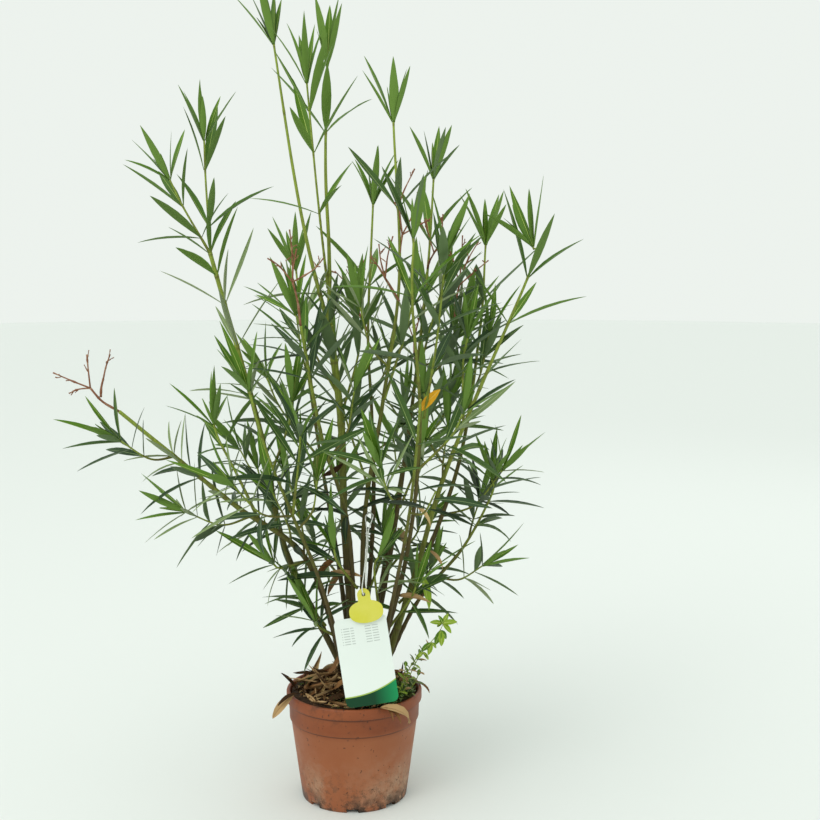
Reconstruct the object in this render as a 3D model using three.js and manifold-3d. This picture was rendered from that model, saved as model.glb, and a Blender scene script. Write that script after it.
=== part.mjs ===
// Potted oleander: a many-stemmed shrub in a round nursery pot, with its label.
// Millimetres, +Z up. The origin is the middle of the pot's flat underside, and
// -Y is the front, where the label hangs. Each stem is one tapering limb, and
// each mass of leaves is one closed, uneven solid.
import * as THREE from 'three';
import { mergeVertices } from 'three/addons/utils/BufferGeometryUtils.js';
import Module from 'manifold-3d';

const wasm = await Module();
wasm.setup();

// ---- driving dimensions ----
const GAP = 0.3;                 // clearance between touching pieces
const GROWTH = 0.55;             // how far a neighbour is swollen before it is cut away
const POT_HEIGHT = 152;
const POT_BASE_RADIUS = 73;
const POT_RIM_RADIUS = 94;
const POT_WALL = 2.4;
const POT_FLOOR = 3;
const LIP_HEIGHT = 15;           // the thick lip at the rim
const BAND_HEIGHT = 40;          // from the rim down to the small step in the wall
const STEP_INSET = 6;            // the wall under the step, in from the rim
const STEP_OUT = 1.6;            // the step itself
const LIP_OUT = 3;               // the lip's overhang above the band
const LIP_ROUND = 1.5;
const RIM_INNER_INSET = 4.4;     // the opening's edge, in from the rim
const POT_SIDES = 36;
const NOTCHES = 8;
const NOTCH_WIDTH = 16;
const NOTCH_HEIGHT = 5;
const NOTCH_DEPTH = 9;
const COMPOST_SLACK = 0.7;       // between the compost and the pot's wall
const COMPOST_TOP = 143;
const LITTER_TOP = 165;
const LITTER_RADIUS = 83;
const LITTER_SIDES = 18;
const LITTER_RIPPLE = 3;
const STOOL_CENTRE = [14, 0];
const STOOL_FOOT_RADIUS = 36;
const STOOL_TOP_RADIUS = 29;
const STOOL_TOP = 172;
const FOOT_LEVEL = 166;          // where the stems' paths start, inside the stool
const STEM_SIDES = 6;
const STEM_STEPS = 7;
const TWIG_STEPS = 2;
const MASS_SIDES = 8;
const MASS_RINGS = 7;
const MASS_FILL = 0.85;          // a mass's mean reach as a share of its girth
const WIDE_LOBES = 0.24;
const TWISTED_LOBES = 0.16;
const LOBE_TWIST = 7;
const CROWN_START = 1.5;         // how far past its limb's tip a crown begins
const CROWN_BOW = 0.06;
const SPRAY_ARCH = 0.3;
const TRUSS_RADII = [2, 1.3];
const CARD = { width: 70, height: 118, thick: 0.9, corner: 8 };
const CARD_CENTRE = [20, -84.5, 217];
const CARD_ROLL = 9;             // degrees, the top edge rises to the right
const CARD_LEAN = 6;             // degrees, the top leans back to the stems
const TAG = { height: 46, thick: 0.9, bodyHalf: 22.5, bodyHeight: 30, tabHalf: 8.5, hole: 2.6 };
const TAG_BODY_ROUNDNESS = 2.6;
const TAG_STEPS = 16;
const TAG_CENTRE = [19, -80.2, 291];
const TAG_HOLE_RISE = 15;        // the hole's height above the tag's middle

// ---- colours ----
const TERRACOTTA = 0xb0603f;
const COMPOST = 0x3a2a20;
const LITTER = 0x7a5a3c;
const BARK = 0x6f6246;
const GREEN_STEM = 0x9aa653;
const LEAF = 0x4f7a45;
const FRESH_LEAF = 0x6f9a48;
const DRY = 0x9a5a42;
const CARD_WHITE = 0xf1f3f0;
const TAG_YELLOW = 0xe9d33a;

const plant = new THREE.Group();
plant.name = 'potted_oleander';
const placed = [];               // every solid so far, with its swollen copy

// ---- solids ----

// A closed three.js geometry as a solid that can be cut.
function toSolid(geometry) {
  const bare = geometry.clone();
  bare.deleteAttribute('normal');
  bare.deleteAttribute('uv');
  const merged = mergeVertices(bare, 1e-4);
  const vertProperties = new Float32Array(merged.attributes.position.array);
  const triVerts = new Uint32Array(merged.index.array);
  return new wasm.Manifold(new wasm.Mesh({ numProp: 3, vertProperties, triVerts }));
}

// The solid's largest piece as a three.js geometry.
function toGeometry(solid) {
  const pieces = solid.decompose();
  pieces.sort((one, other) => other.volume() - one.volume());
  const mesh = pieces[0].getMesh();
  const geometry = new THREE.BufferGeometry();
  geometry.setAttribute('position', new THREE.BufferAttribute(mesh.vertProperties.slice(), 3));
  geometry.setIndex(new THREE.BufferAttribute(mesh.triVerts.slice(), 1));
  geometry.computeVertexNormals();
  return geometry;
}

// Adds a solid to the plant, cut clear of the swollen copies of those before it.
function place(name, solid, swollen, colour, roughness = 0.6) {
  let cut = solid;
  for (const other of placed) {
    cut = cut.subtract(other);
  }
  placed.push(swollen.add(solid));
  const material = new THREE.MeshStandardMaterial({ color: colour, roughness, metalness: 0 });
  const mesh = new THREE.Mesh(toGeometry(cut), material);
  mesh.name = name;
  plant.add(mesh);
}

// A curve through hand-placed points.
function curveThrough(points) {
  const knots = points.map((point) => new THREE.Vector3(...point));
  return new THREE.CatmullRomCurve3(knots, false, 'catmullrom', 0.5);
}

// The part of a curve between two shares of its length, as a curve of its own.
function stretch(curve, from, to, knots = 5) {
  const points = [];
  for (let i = 0; i < knots; i += 1) {
    points.push(curve.getPointAt(from + (to - from) * i / (knots - 1)).toArray());
  }
  return curveThrough(points);
}

// Bends an upright unit geometry (its axis from y = -1 to y = 1) along a curve.
// radiusAt(share, angle) is the reach from the curve, and overrun lengthens both ends.
function bend(geometry, curve, radiusAt, overrun = 0) {
  const position = geometry.attributes.position;
  const point = new THREE.Vector3();
  const tangent = new THREE.Vector3();
  const across = new THREE.Vector3();
  const out = new THREE.Vector3();
  for (let i = 0; i < position.count; i += 1) {
    const share = (position.getY(i) + 1) / 2;
    curve.getPointAt(share, point);
    curve.getTangentAt(share, tangent);
    across.set(0, 1, 0).addScaledVector(tangent, -tangent.y).normalize();
    out.crossVectors(across, tangent);
    const side = position.getX(i);
    const depth = position.getZ(i);
    const radius = radiusAt(share, Math.atan2(depth, side)) * Math.hypot(side, depth);
    const angle = Math.atan2(depth, side);
    point.addScaledVector(across, radius * Math.cos(angle));
    point.addScaledVector(out, radius * Math.sin(angle));
    point.addScaledVector(tangent, (share * 2 - 1) * overrun);
    position.setXYZ(i, point.x, point.y, point.z);
  }
  return geometry;
}

// A tapering limb: the radius falls evenly from foot to tip.
function limb(curve, footRadius, tipRadius, grow = 0, steps = STEM_STEPS) {
  const rod = new THREE.CylinderGeometry(1, 1, 2, STEM_SIDES, steps);
  const taper = (share) => footRadius + (tipRadius - footRadius) * share + grow;
  return toSolid(bend(rod, curve, taper, grow));
}

// A mass of leaves: round a curve, with three leaning lobes, so no two are alike.
// The fullest place is at the share `belly` of its length.
function foliage(curve, girth, belly, turn, grow = 0) {
  const ball = new THREE.SphereGeometry(1, MASS_SIDES, MASS_RINGS);
  ball.rotateY(turn);
  const position = ball.attributes.position;
  for (let i = 0; i < position.count; i += 1) {
    const round = Math.hypot(position.getX(i), position.getZ(i));
    if (round > 1e-6) {
      position.setX(i, position.getX(i) / round);
      position.setZ(i, position.getZ(i) / round);
    } else {
      position.setX(i, 0);
      position.setZ(i, 0);
    }
  }
  const reach = (share, angle) => {
    const swell = Math.pow(Math.max(share, 0), belly) * Math.pow(Math.max(1 - share, 0), 1 - belly);
    const peak = Math.pow(belly, belly) * Math.pow(1 - belly, 1 - belly);
    const wide = WIDE_LOBES * Math.cos(3 * angle + turn);
    const twisted = TWISTED_LOBES * Math.cos(2 * angle - LOBE_TWIST * share + turn);
    return girth * MASS_FILL * (swell / peak) * (1 + wide + twisted) + grow;
  };
  return toSolid(bend(ball, curve, reach, grow));
}

// A flat outline extruded to a plate that stands with its face to -Y.
function extruded(shape, thick) {
  const geometry = new THREE.ExtrudeGeometry(shape, { depth: thick, bevelEnabled: false, curveSegments: 3 });
  geometry.translate(0, 0, -thick / 2);
  geometry.rotateX(Math.PI / 2);
  return geometry;
}

// A plate with round corners.
function plate({ width, height, thick, corner }) {
  const shape = new THREE.Shape();
  const x = width / 2;
  const y = height / 2;
  shape.moveTo(-x + corner, -y);
  shape.lineTo(x - corner, -y);
  shape.absarc(x - corner, -y + corner, corner, -Math.PI / 2, 0, false);
  shape.lineTo(x, y - corner);
  shape.absarc(x - corner, y - corner, corner, 0, Math.PI / 2, false);
  shape.lineTo(-x + corner, y);
  shape.absarc(-x + corner, y - corner, corner, Math.PI / 2, Math.PI, false);
  shape.lineTo(-x, -y + corner);
  shape.absarc(-x + corner, -y + corner, corner, Math.PI, Math.PI * 1.5, false);
  return extruded(shape, thick);
}

// Half the tag's width at a height above its middle: a round body with a round tab on top.
function tagHalfWidth(rise) {
  const bodyMiddle = (TAG.bodyHeight - TAG.height) / 2;
  const bodyShare = Math.min(Math.abs(rise - bodyMiddle) / (TAG.bodyHeight / 2), 1);
  const body = TAG.bodyHalf * Math.sqrt(1 - Math.pow(bodyShare, TAG_BODY_ROUNDNESS));
  const pastTab = Math.max(rise - (TAG.height / 2 - TAG.tabHalf), 0);
  const tab = rise > bodyMiddle ? Math.sqrt(Math.max(TAG.tabHalf ** 2 - pastTab ** 2, 0)) : 0;
  return Math.max(body, tab);
}

// The hanging tag's plate, with the hole for its string.
function tagPlate(thick) {
  const right = [];
  for (let i = 0; i <= TAG_STEPS; i += 1) {
    const rise = -Math.cos(Math.PI * i / TAG_STEPS) * TAG.height / 2;
    right.push(new THREE.Vector2(tagHalfWidth(rise), rise));
  }
  const left = right.slice(1, -1).reverse().map((point) => new THREE.Vector2(-point.x, point.y));
  const shape = new THREE.Shape([...right, ...left]);
  const ring = new THREE.Path();
  ring.absarc(0, TAG_HOLE_RISE, TAG.hole, 0, Math.PI * 2, true);
  shape.holes.push(ring);
  return extruded(shape, thick);
}

// Leans, rolls and places a plate that stands in the XZ plane.
function hang(geometry, centre) {
  geometry.rotateY(-THREE.MathUtils.degToRad(CARD_ROLL));
  geometry.rotateX(-THREE.MathUtils.degToRad(CARD_LEAN));
  geometry.translate(...centre);
  return geometry;
}

// ---- pot, compost and litter ----

// The pot's outer radius at a height: one straight taper up to the step under the band.
function wallRadius(z) {
  const bandFoot = POT_HEIGHT - BAND_HEIGHT;
  return POT_BASE_RADIUS + (POT_RIM_RADIUS - STEP_INSET - POT_BASE_RADIUS) * z / bandFoot;
}

function makePot() {
  const bandFoot = POT_HEIGHT - BAND_HEIGHT;
  const lipFoot = POT_HEIGHT - LIP_HEIGHT;
  const inside = POT_RIM_RADIUS - RIM_INNER_INSET;
  const profile = [
    [0, 0], [POT_BASE_RADIUS, 0], [wallRadius(bandFoot), bandFoot],
    [wallRadius(bandFoot) + STEP_OUT, bandFoot + 1], [POT_RIM_RADIUS - LIP_OUT, lipFoot],
    [POT_RIM_RADIUS, lipFoot + LIP_ROUND], [POT_RIM_RADIUS, POT_HEIGHT - LIP_ROUND],
    [POT_RIM_RADIUS - LIP_ROUND, POT_HEIGHT], [inside, POT_HEIGHT],
    [wallRadius(bandFoot) - POT_WALL, bandFoot], [POT_BASE_RADIUS - POT_WALL, POT_FLOOR],
    [0, POT_FLOOR],
  ];
  const outline = profile.map(([radius, height]) => new THREE.Vector2(radius, height));
  const turned = new THREE.LatheGeometry(outline, POT_SIDES);
  turned.rotateX(Math.PI / 2);
  let pot = toSolid(turned);
  for (let i = 0; i < NOTCHES; i += 1) {
    const notch = new THREE.BoxGeometry(NOTCH_WIDTH, NOTCH_DEPTH, NOTCH_HEIGHT * 2);
    notch.translate(0, -POT_BASE_RADIUS, 0);
    notch.rotateZ(Math.PI * 2 * i / NOTCHES);
    pot = pot.subtract(toSolid(notch));
  }
  return pot;
}

// A turned solid whose top is lifted and lowered round its edge.
function turnedHeap(profile, sides, ripple) {
  const outline = profile.map(([radius, height]) => new THREE.Vector2(radius, height));
  const heap = new THREE.LatheGeometry(outline, sides);
  heap.rotateX(Math.PI / 2);
  const position = heap.attributes.position;
  const floor = profile[0][1];
  for (let i = 0; i < position.count; i += 1) {
    const x = position.getX(i);
    const y = position.getY(i);
    const z = position.getZ(i);
    const share = z > floor + 1 ? Math.hypot(x, y) / LITTER_RADIUS : 0;
    position.setZ(i, z + ripple * share * (Math.cos(x / 17 + 1) + Math.sin(y / 13)));
  }
  return toSolid(heap);
}

const potSolid = makePot();
place('pot', potSolid, potSolid, TERRACOTTA, 0.55);

const compostFoot = POT_FLOOR + GAP;
const slack = POT_WALL + COMPOST_SLACK;
const compostBand = POT_HEIGHT - BAND_HEIGHT;
const compost = turnedHeap([
  [0, compostFoot], [POT_BASE_RADIUS - slack, compostFoot],
  [wallRadius(compostBand) - slack, compostBand],
  [wallRadius(compostBand) - slack + 1, COMPOST_TOP], [0, COMPOST_TOP],
], POT_SIDES, 0);
place('compost', compost, compost, COMPOST, 0.95);

const [stoolX, stoolY] = STOOL_CENTRE;
const stoolCurve = curveThrough([
  [stoolX, stoolY, COMPOST_TOP + GAP], [stoolX, stoolY, (COMPOST_TOP + STOOL_TOP) / 2],
  [stoolX, stoolY, STOOL_TOP],
]);
const stool = limb(stoolCurve, STOOL_FOOT_RADIUS, STOOL_TOP_RADIUS);
const stoolSwollen = limb(stoolCurve, STOOL_FOOT_RADIUS, STOOL_TOP_RADIUS, GROWTH);
place('stem_stool', stool, stoolSwollen, BARK, 0.9);

const litterFoot = COMPOST_TOP + GAP;
const litter = turnedHeap([
  [0, litterFoot], [LITTER_RADIUS, litterFoot], [LITTER_RADIUS - 3, litterFoot + 5],
  [LITTER_RADIUS - 22, LITTER_TOP - 8], [LITTER_RADIUS / 2, LITTER_TOP - 2], [0, LITTER_TOP],
], LITTER_SIDES, LITTER_RIPPLE);
place('leaf_litter', litter, litter, LITTER, 0.95);

// ---- stems ----
// Each limb: its name, the points its path passes through, and its radius at foot and tip.
// The first fifteen rise from the stool, and the rest fork from one of those.
const STEMS = [
  ['stem_low_left', [[-8, -9], [-61, -31, 339], [-160, -48, 423], [-302, -64, 547]], 5, 2.2],
  ['stem_tall_left', [[-11, 6], [-95, 22, 342], [-130, 42, 505], [-200, 70, 752]], 5.2, 2.6],
  ['stem_thin_left', [[3, -16], [-4, -34, 380], [-38, -57, 512], [-62, -84, 660]], 3.4, 1.8],
  ['stem_centre', [[2, -1], [-12, 5, 380], [-16, 9, 520], [-31, 14, 655]], 6, 4.4],
  ['stem_middle', [[15, -10], [15, -18, 380], [41, -32, 550], [64, -47, 720]], 4.6, 2.6],
  ['stem_back_middle', [[11, 17], [26, 50, 380], [24, 78, 520], [18, 110, 640]], 4.2, 2.4],
  ['stem_mid_right', [[19, 5], [56, 46, 365], [84, 88, 560], [104, 126, 735]], 4.6, 2.4],
  ['stem_slim_right', [[27, -14], [73, -43, 347], [91, -85, 525], [81, -128, 690]], 4.2, 2.2],
  ['stem_green_right', [[38, -2], [86, -9, 319], [131, -16, 472], [236, -30, 728]], 5.4, 2.8],
  ['stem_back_right', [[28, 17], [79, 28, 278], [146, 68, 452], [178, 112, 640]], 4.8, 2.4],
  ['stem_far_right', [[38, 11], [88, 24, 266], [152, 43, 339], [193, 58, 412]], 3.8, 2],
  ['stem_rear_left', [[-1, 14], [-26, 72, 320], [-52, 128, 450], [-78, 185, 600]], 4.4, 2.2],
  ['stem_rear_right', [[21, 27], [42, 88, 310], [66, 146, 430], [88, 206, 570]], 4.4, 2.2],
  ['stem_front', [[30, -24], [56, -66, 300], [74, -112, 400], [84, -160, 490]], 3.6, 2],
  ['stem_front_left', [[-5, -22], [-40, -76, 320], [-72, -118, 420], [-100, -158, 510]], 3.4, 2],
  ['stem_top_left', [[-38, 18, 664], [-60, 34, 757], [-82, 48, 870]], 3.4, 2.4],
  ['stem_top_middle', [[-31, 11, 663], [-31, 13, 757], [-35, 17, 866]], 3.6, 2.6],
  ['shoot_low_left', [[-126, -27, 400], [-151, -26, 449], [-177, -29, 503]], 2.2, 1.6],
];

const paths = {};
for (const [name, points, footRadius, tipRadius] of STEMS) {
  const knots = points.map((point) => (point.length === 2 ? [...point, FOOT_LEVEL] : point));
  const curve = curveThrough(knots);
  paths[name] = curve;
  const colour = name.startsWith('stem_top') || name.includes('green') ? GREEN_STEM : BARK;
  const solid = limb(curve, footRadius, tipRadius);
  place(name, solid, limb(curve, footRadius, tipRadius, GROWTH), colour, 0.7);
}

// The dry flower truss at the end of the low left stem: one stalk and its forked twigs.
function makeTruss(grow) {
  const fork = [-338, -67, 578];
  const twigs = [
    [[-306, -64.4, 551], fork], [fork, [-366, -67, 571]], [fork, [-386, -66, 598]],
    [fork, [-341, -68, 622]], [[-325, -66, 566], [-311, -67, 622]],
  ];
  let truss = null;
  for (const [from, to] of twigs) {
    const middle = from.map((value, axis) => (value + to[axis]) / 2);
    const twig = limb(curveThrough([from, middle, to]), ...TRUSS_RADII, grow, TWIG_STEPS);
    truss = truss === null ? twig : truss.add(twig);
  }
  return truss;
}
place('dry_truss', makeTruss(0), makeTruss(GROWTH), DRY, 0.8);

// ---- label ----
const card = hang(plate(CARD), CARD_CENTRE);
const cardSwollen = hang(plate({ ...CARD, width: CARD.width + GAP, height: CARD.height + GAP,
  thick: CARD.thick + 2 * GAP }), CARD_CENTRE);
place('label_card', toSolid(card), toSolid(cardSwollen), CARD_WHITE, 0.4);

const tag = hang(tagPlate(TAG.thick), TAG_CENTRE);
const tagSwollen = hang(tagPlate(TAG.thick + 2 * GAP), TAG_CENTRE);
place('hang_tag', toSolid(tag), toSolid(tagSwollen), TAG_YELLOW, 0.4);

// ---- masses of leaves ----
// A sleeve wraps a stem that runs on through it: name, stem, shares of its length, girth.
const SLEEVES = [
  ['leaves_tall_left_low', 'stem_tall_left', 0.42, 0.62, 40],
  ['leaves_tall_left_high', 'stem_tall_left', 0.64, 0.9, 46],
  ['leaves_centre', 'stem_centre', 0.5, 0.94, 42],
  ['leaves_low_left', 'stem_low_left', 0.5, 0.86, 36],
  ['leaves_middle', 'stem_middle', 0.42, 0.93, 44],
  ['leaves_mid_right', 'stem_mid_right', 0.42, 0.93, 46],
  ['leaves_slim_right', 'stem_slim_right', 0.4, 0.92, 40],
  ['leaves_green_right', 'stem_green_right', 0.36, 0.9, 46],
  ['leaves_back_right', 'stem_back_right', 0.4, 0.92, 44],
  ['leaves_rear_left', 'stem_rear_left', 0.4, 0.92, 46],
  ['leaves_rear_right', 'stem_rear_right', 0.4, 0.92, 46],
];

// A crown begins where a limb ends: name, limb, the point that its last leaf reaches, girth.
const CROWNS = [
  ['crown_top_left', 'stem_top_left', [-118, 62, 1111], 48],
  ['crown_top_middle', 'stem_top_middle', [-30, 22, 1078], 38],
  ['crown_middle', 'stem_middle', [54, -62, 998], 46],
  ['crown_mid_right', 'stem_mid_right', [117, 158, 936], 42],
  ['crown_slim_right', 'stem_slim_right', [84, -150, 850], 36],
  ['crown_green_right', 'stem_green_right', [248, -32, 840], 34],
  ['crown_back_right', 'stem_back_right', [192, 140, 842], 42],
  ['crown_far_right', 'stem_far_right', [206, 62, 515], 30],
  ['crown_back_middle', 'stem_back_middle', [28, 150, 900], 50],
  ['crown_rear_left', 'stem_rear_left', [-104, 250, 800], 46],
  ['crown_rear_right', 'stem_rear_right', [112, 282, 760], 46],
  ['crown_front', 'stem_front', [96, -246, 650], 42],
  ['crown_front_left', 'stem_front_left', [-130, -226, 660], 40],
  ['crown_thin_left', 'stem_thin_left', [-72, -102, 780], 18],
  ['crown_low_shoot', 'shoot_low_left', [-205, -26, 590], 26],
];

// A spray stands by itself beside a stem: name, its two ends, girth.
const SPRAYS = [
  ['spray_left_outer', [-204, 75, 762], [-300, 98, 930], 34],
  ['spray_left_upright', [-198, 62, 766], [-204, 60, 990], 34],
  ['spray_left_arm', [-226, 78, 768], [-366, 100, 797], 9],
  ['spray_low_left_tip', [-244, -60, 482], [-372, -60, 502], 17],
  ['spray_low_left_hanging', [-232, -58, 470], [-326, -58, 360], 22],
  ['spray_low_left_under', [-112, -40, 374], [-196, -44, 322], 28],
  ['spray_foot_left', [-44, -26, 296], [-118, -34, 278], 20],
  ['spray_right_arm', [240, -31, 738], [330, -30, 806], 12],
  ['spray_right_low', [160, -20, 560], [264, -22, 552], 20],
];

const SLEEVE_BELLY = 0.5;
const CROWN_BELLY = 0.38;
const SPRAY_BELLY = 0.42;
const GOLDEN_TURN = 2.4;
let turn = 0;

function placeFoliage(name, curve, girth, belly, colour) {
  turn += GOLDEN_TURN;
  const solid = foliage(curve, girth, belly, turn);
  place(name, solid, foliage(curve, girth, belly, turn, GROWTH), colour, 0.6);
}

for (const [name, stem, target, girth] of CROWNS) {
  const end = paths[stem].getPointAt(1);
  const heading = paths[stem].getTangentAt(1);
  const tip = new THREE.Vector3(...target);
  const start = end.clone().addScaledVector(heading, CROWN_START);
  const bow = start.distanceTo(tip) * CROWN_BOW;
  const middle = start.clone().lerp(tip, 0.5).addScaledVector(heading, bow);
  const curve = curveThrough([start.toArray(), middle.toArray(), target]);
  placeFoliage(name, curve, girth, CROWN_BELLY, FRESH_LEAF);
}
for (const [name, from, to, girth] of SPRAYS) {
  const rise = [0, 0, girth * SPRAY_ARCH];
  const middle = from.map((value, axis) => (value + to[axis]) / 2 + rise[axis]);
  placeFoliage(name, curveThrough([from, middle, to]), girth, SPRAY_BELLY, LEAF);
}
for (const [name, stem, from, to, girth] of SLEEVES) {
  placeFoliage(name, stretch(paths[stem], from, to), girth, SLEEVE_BELLY, LEAF);
}

export default plant;
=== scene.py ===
"""A potted oleander: a many-stemmed shrub in a round nursery pot, with its hanging label.

Metres, +Z up, the pot's flat foot on z = 0 and its front, where the label hangs, towards -Y.
Every new piece is a surface worked out with numpy: a tube or leaf carried along a path, or a
profile carried round the pot's axis.
"""
import math

import bpy
import numpy as np
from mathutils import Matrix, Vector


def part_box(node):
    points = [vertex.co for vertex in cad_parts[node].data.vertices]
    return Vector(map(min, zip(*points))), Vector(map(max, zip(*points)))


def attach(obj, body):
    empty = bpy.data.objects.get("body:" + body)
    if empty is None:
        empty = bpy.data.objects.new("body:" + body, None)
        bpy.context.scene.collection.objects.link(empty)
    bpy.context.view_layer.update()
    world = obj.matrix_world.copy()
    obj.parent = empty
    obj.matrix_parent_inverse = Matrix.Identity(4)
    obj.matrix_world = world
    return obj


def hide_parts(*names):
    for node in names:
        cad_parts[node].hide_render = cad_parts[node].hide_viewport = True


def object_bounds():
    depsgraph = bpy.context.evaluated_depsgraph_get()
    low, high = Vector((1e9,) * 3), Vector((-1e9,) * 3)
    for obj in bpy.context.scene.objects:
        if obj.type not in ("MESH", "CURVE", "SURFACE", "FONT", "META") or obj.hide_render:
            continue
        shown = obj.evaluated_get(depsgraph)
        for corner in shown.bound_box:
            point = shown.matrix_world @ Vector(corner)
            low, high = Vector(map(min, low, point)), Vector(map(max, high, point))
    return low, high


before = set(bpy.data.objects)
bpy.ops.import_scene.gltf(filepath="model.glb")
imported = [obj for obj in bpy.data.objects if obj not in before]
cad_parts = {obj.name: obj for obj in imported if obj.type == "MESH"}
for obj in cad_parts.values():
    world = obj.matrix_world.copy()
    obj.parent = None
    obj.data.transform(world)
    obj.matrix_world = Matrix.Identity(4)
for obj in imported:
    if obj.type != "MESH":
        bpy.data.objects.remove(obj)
cad_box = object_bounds()
CAD_LOW = np.array(cad_box[0])
CAD_HIGH = np.array(cad_box[1])

MM = 0.001
TURN = 2 * math.pi

POT_HEIGHT = 0.152
POT_INSIDE = 0.0862           # the least radius of the pot's inside near the compost's top
LIP_FOOT = POT_HEIGHT - 0.015
BAND_FOOT = POT_HEIGHT - 0.040

VIEW_PLACE = (0.078, -1.735, 0.760)
VIEW_TILT = 7.2               # degrees below level
VIEW_LENS = 56.6


# ---------------------------------------------------------------- camera, light and floor

def make_camera():
    """A long-lens view from the front, a little above the middle of the plant, tilted down."""
    data = bpy.data.cameras.new("view")
    data.lens = VIEW_LENS
    data.sensor_width = 36.0
    data.clip_end = 60.0
    camera = bpy.data.objects.new("view", data)
    camera.location = VIEW_PLACE
    camera.rotation_euler = (math.radians(90.0 - VIEW_TILT), 0.0, 0.0)
    bpy.context.scene.collection.objects.link(camera)
    bpy.context.scene.camera = camera


def make_light(name, place, aim, size, power, colour):
    """A square soft box at a place, turned to face a point."""
    data = bpy.data.lights.new(name, "AREA")
    data.size = size
    data.energy = power
    data.color = colour
    lamp = bpy.data.objects.new(name, data)
    lamp.location = place
    towards = np.array(aim, float) - np.array(place, float)
    flat = math.hypot(towards[0], towards[1])
    lamp.rotation_euler = (math.atan2(flat, -towards[2]), 0.0, math.atan2(-towards[0], towards[1]))
    bpy.context.scene.collection.objects.link(lamp)


def make_studio():
    """An even pale room: a bright world, broad lamps overhead, and a soft box in front and behind."""
    scene = bpy.context.scene
    scene.view_settings.view_transform = "Standard"
    world = bpy.data.worlds.new("pale room")
    world.use_nodes = True
    sky = world.node_tree.nodes["Background"]
    sky.inputs["Color"].default_value = (0.847, 0.893, 0.850, 1.0)
    sky.inputs["Strength"].default_value = 1.0
    scene.world = world
    make_light("front_soft_box", (-1.5, -2.0, 2.2), (0.0, 0.0, 0.6), 1.2, 14.0, (1.0, 0.99, 0.96))
    make_light("rear_soft_box", (1.5, 2.0, 2.2), (0.0, 0.0, 0.6), 1.6, 6.0, (0.97, 0.99, 1.0))
    data = bpy.data.lights.new("room_lamps", "SUN")
    data.energy = 0.8
    data.angle = math.radians(50.0)
    lamps = bpy.data.objects.new("room_lamps", data)
    lamps.rotation_euler = (math.radians(24.0), math.radians(-18.0), 0.0)
    scene.collection.objects.link(lamps)


# ---------------------------------------------------------------- materials

def principled(name, colour, roughness, specular=0.5):
    """A new material whose even colour and gloss sit on the shader's own sockets."""
    material = bpy.data.materials.new(name)
    material.use_nodes = True
    shader = material.node_tree.nodes["Principled BSDF"]
    shader.inputs["Base Color"].default_value = (*colour, 1.0)
    shader.inputs["Roughness"].default_value = roughness
    shader.inputs["Specular IOR Level"].default_value = specular
    return material


def tone(red, green, blue):
    """The linear colour of a 0-255 display colour."""
    values = np.array([red, green, blue]) / 255.0
    return tuple(np.where(values <= 0.04045, values / 12.92, ((values + 0.055) / 1.055) ** 2.4))


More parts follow.
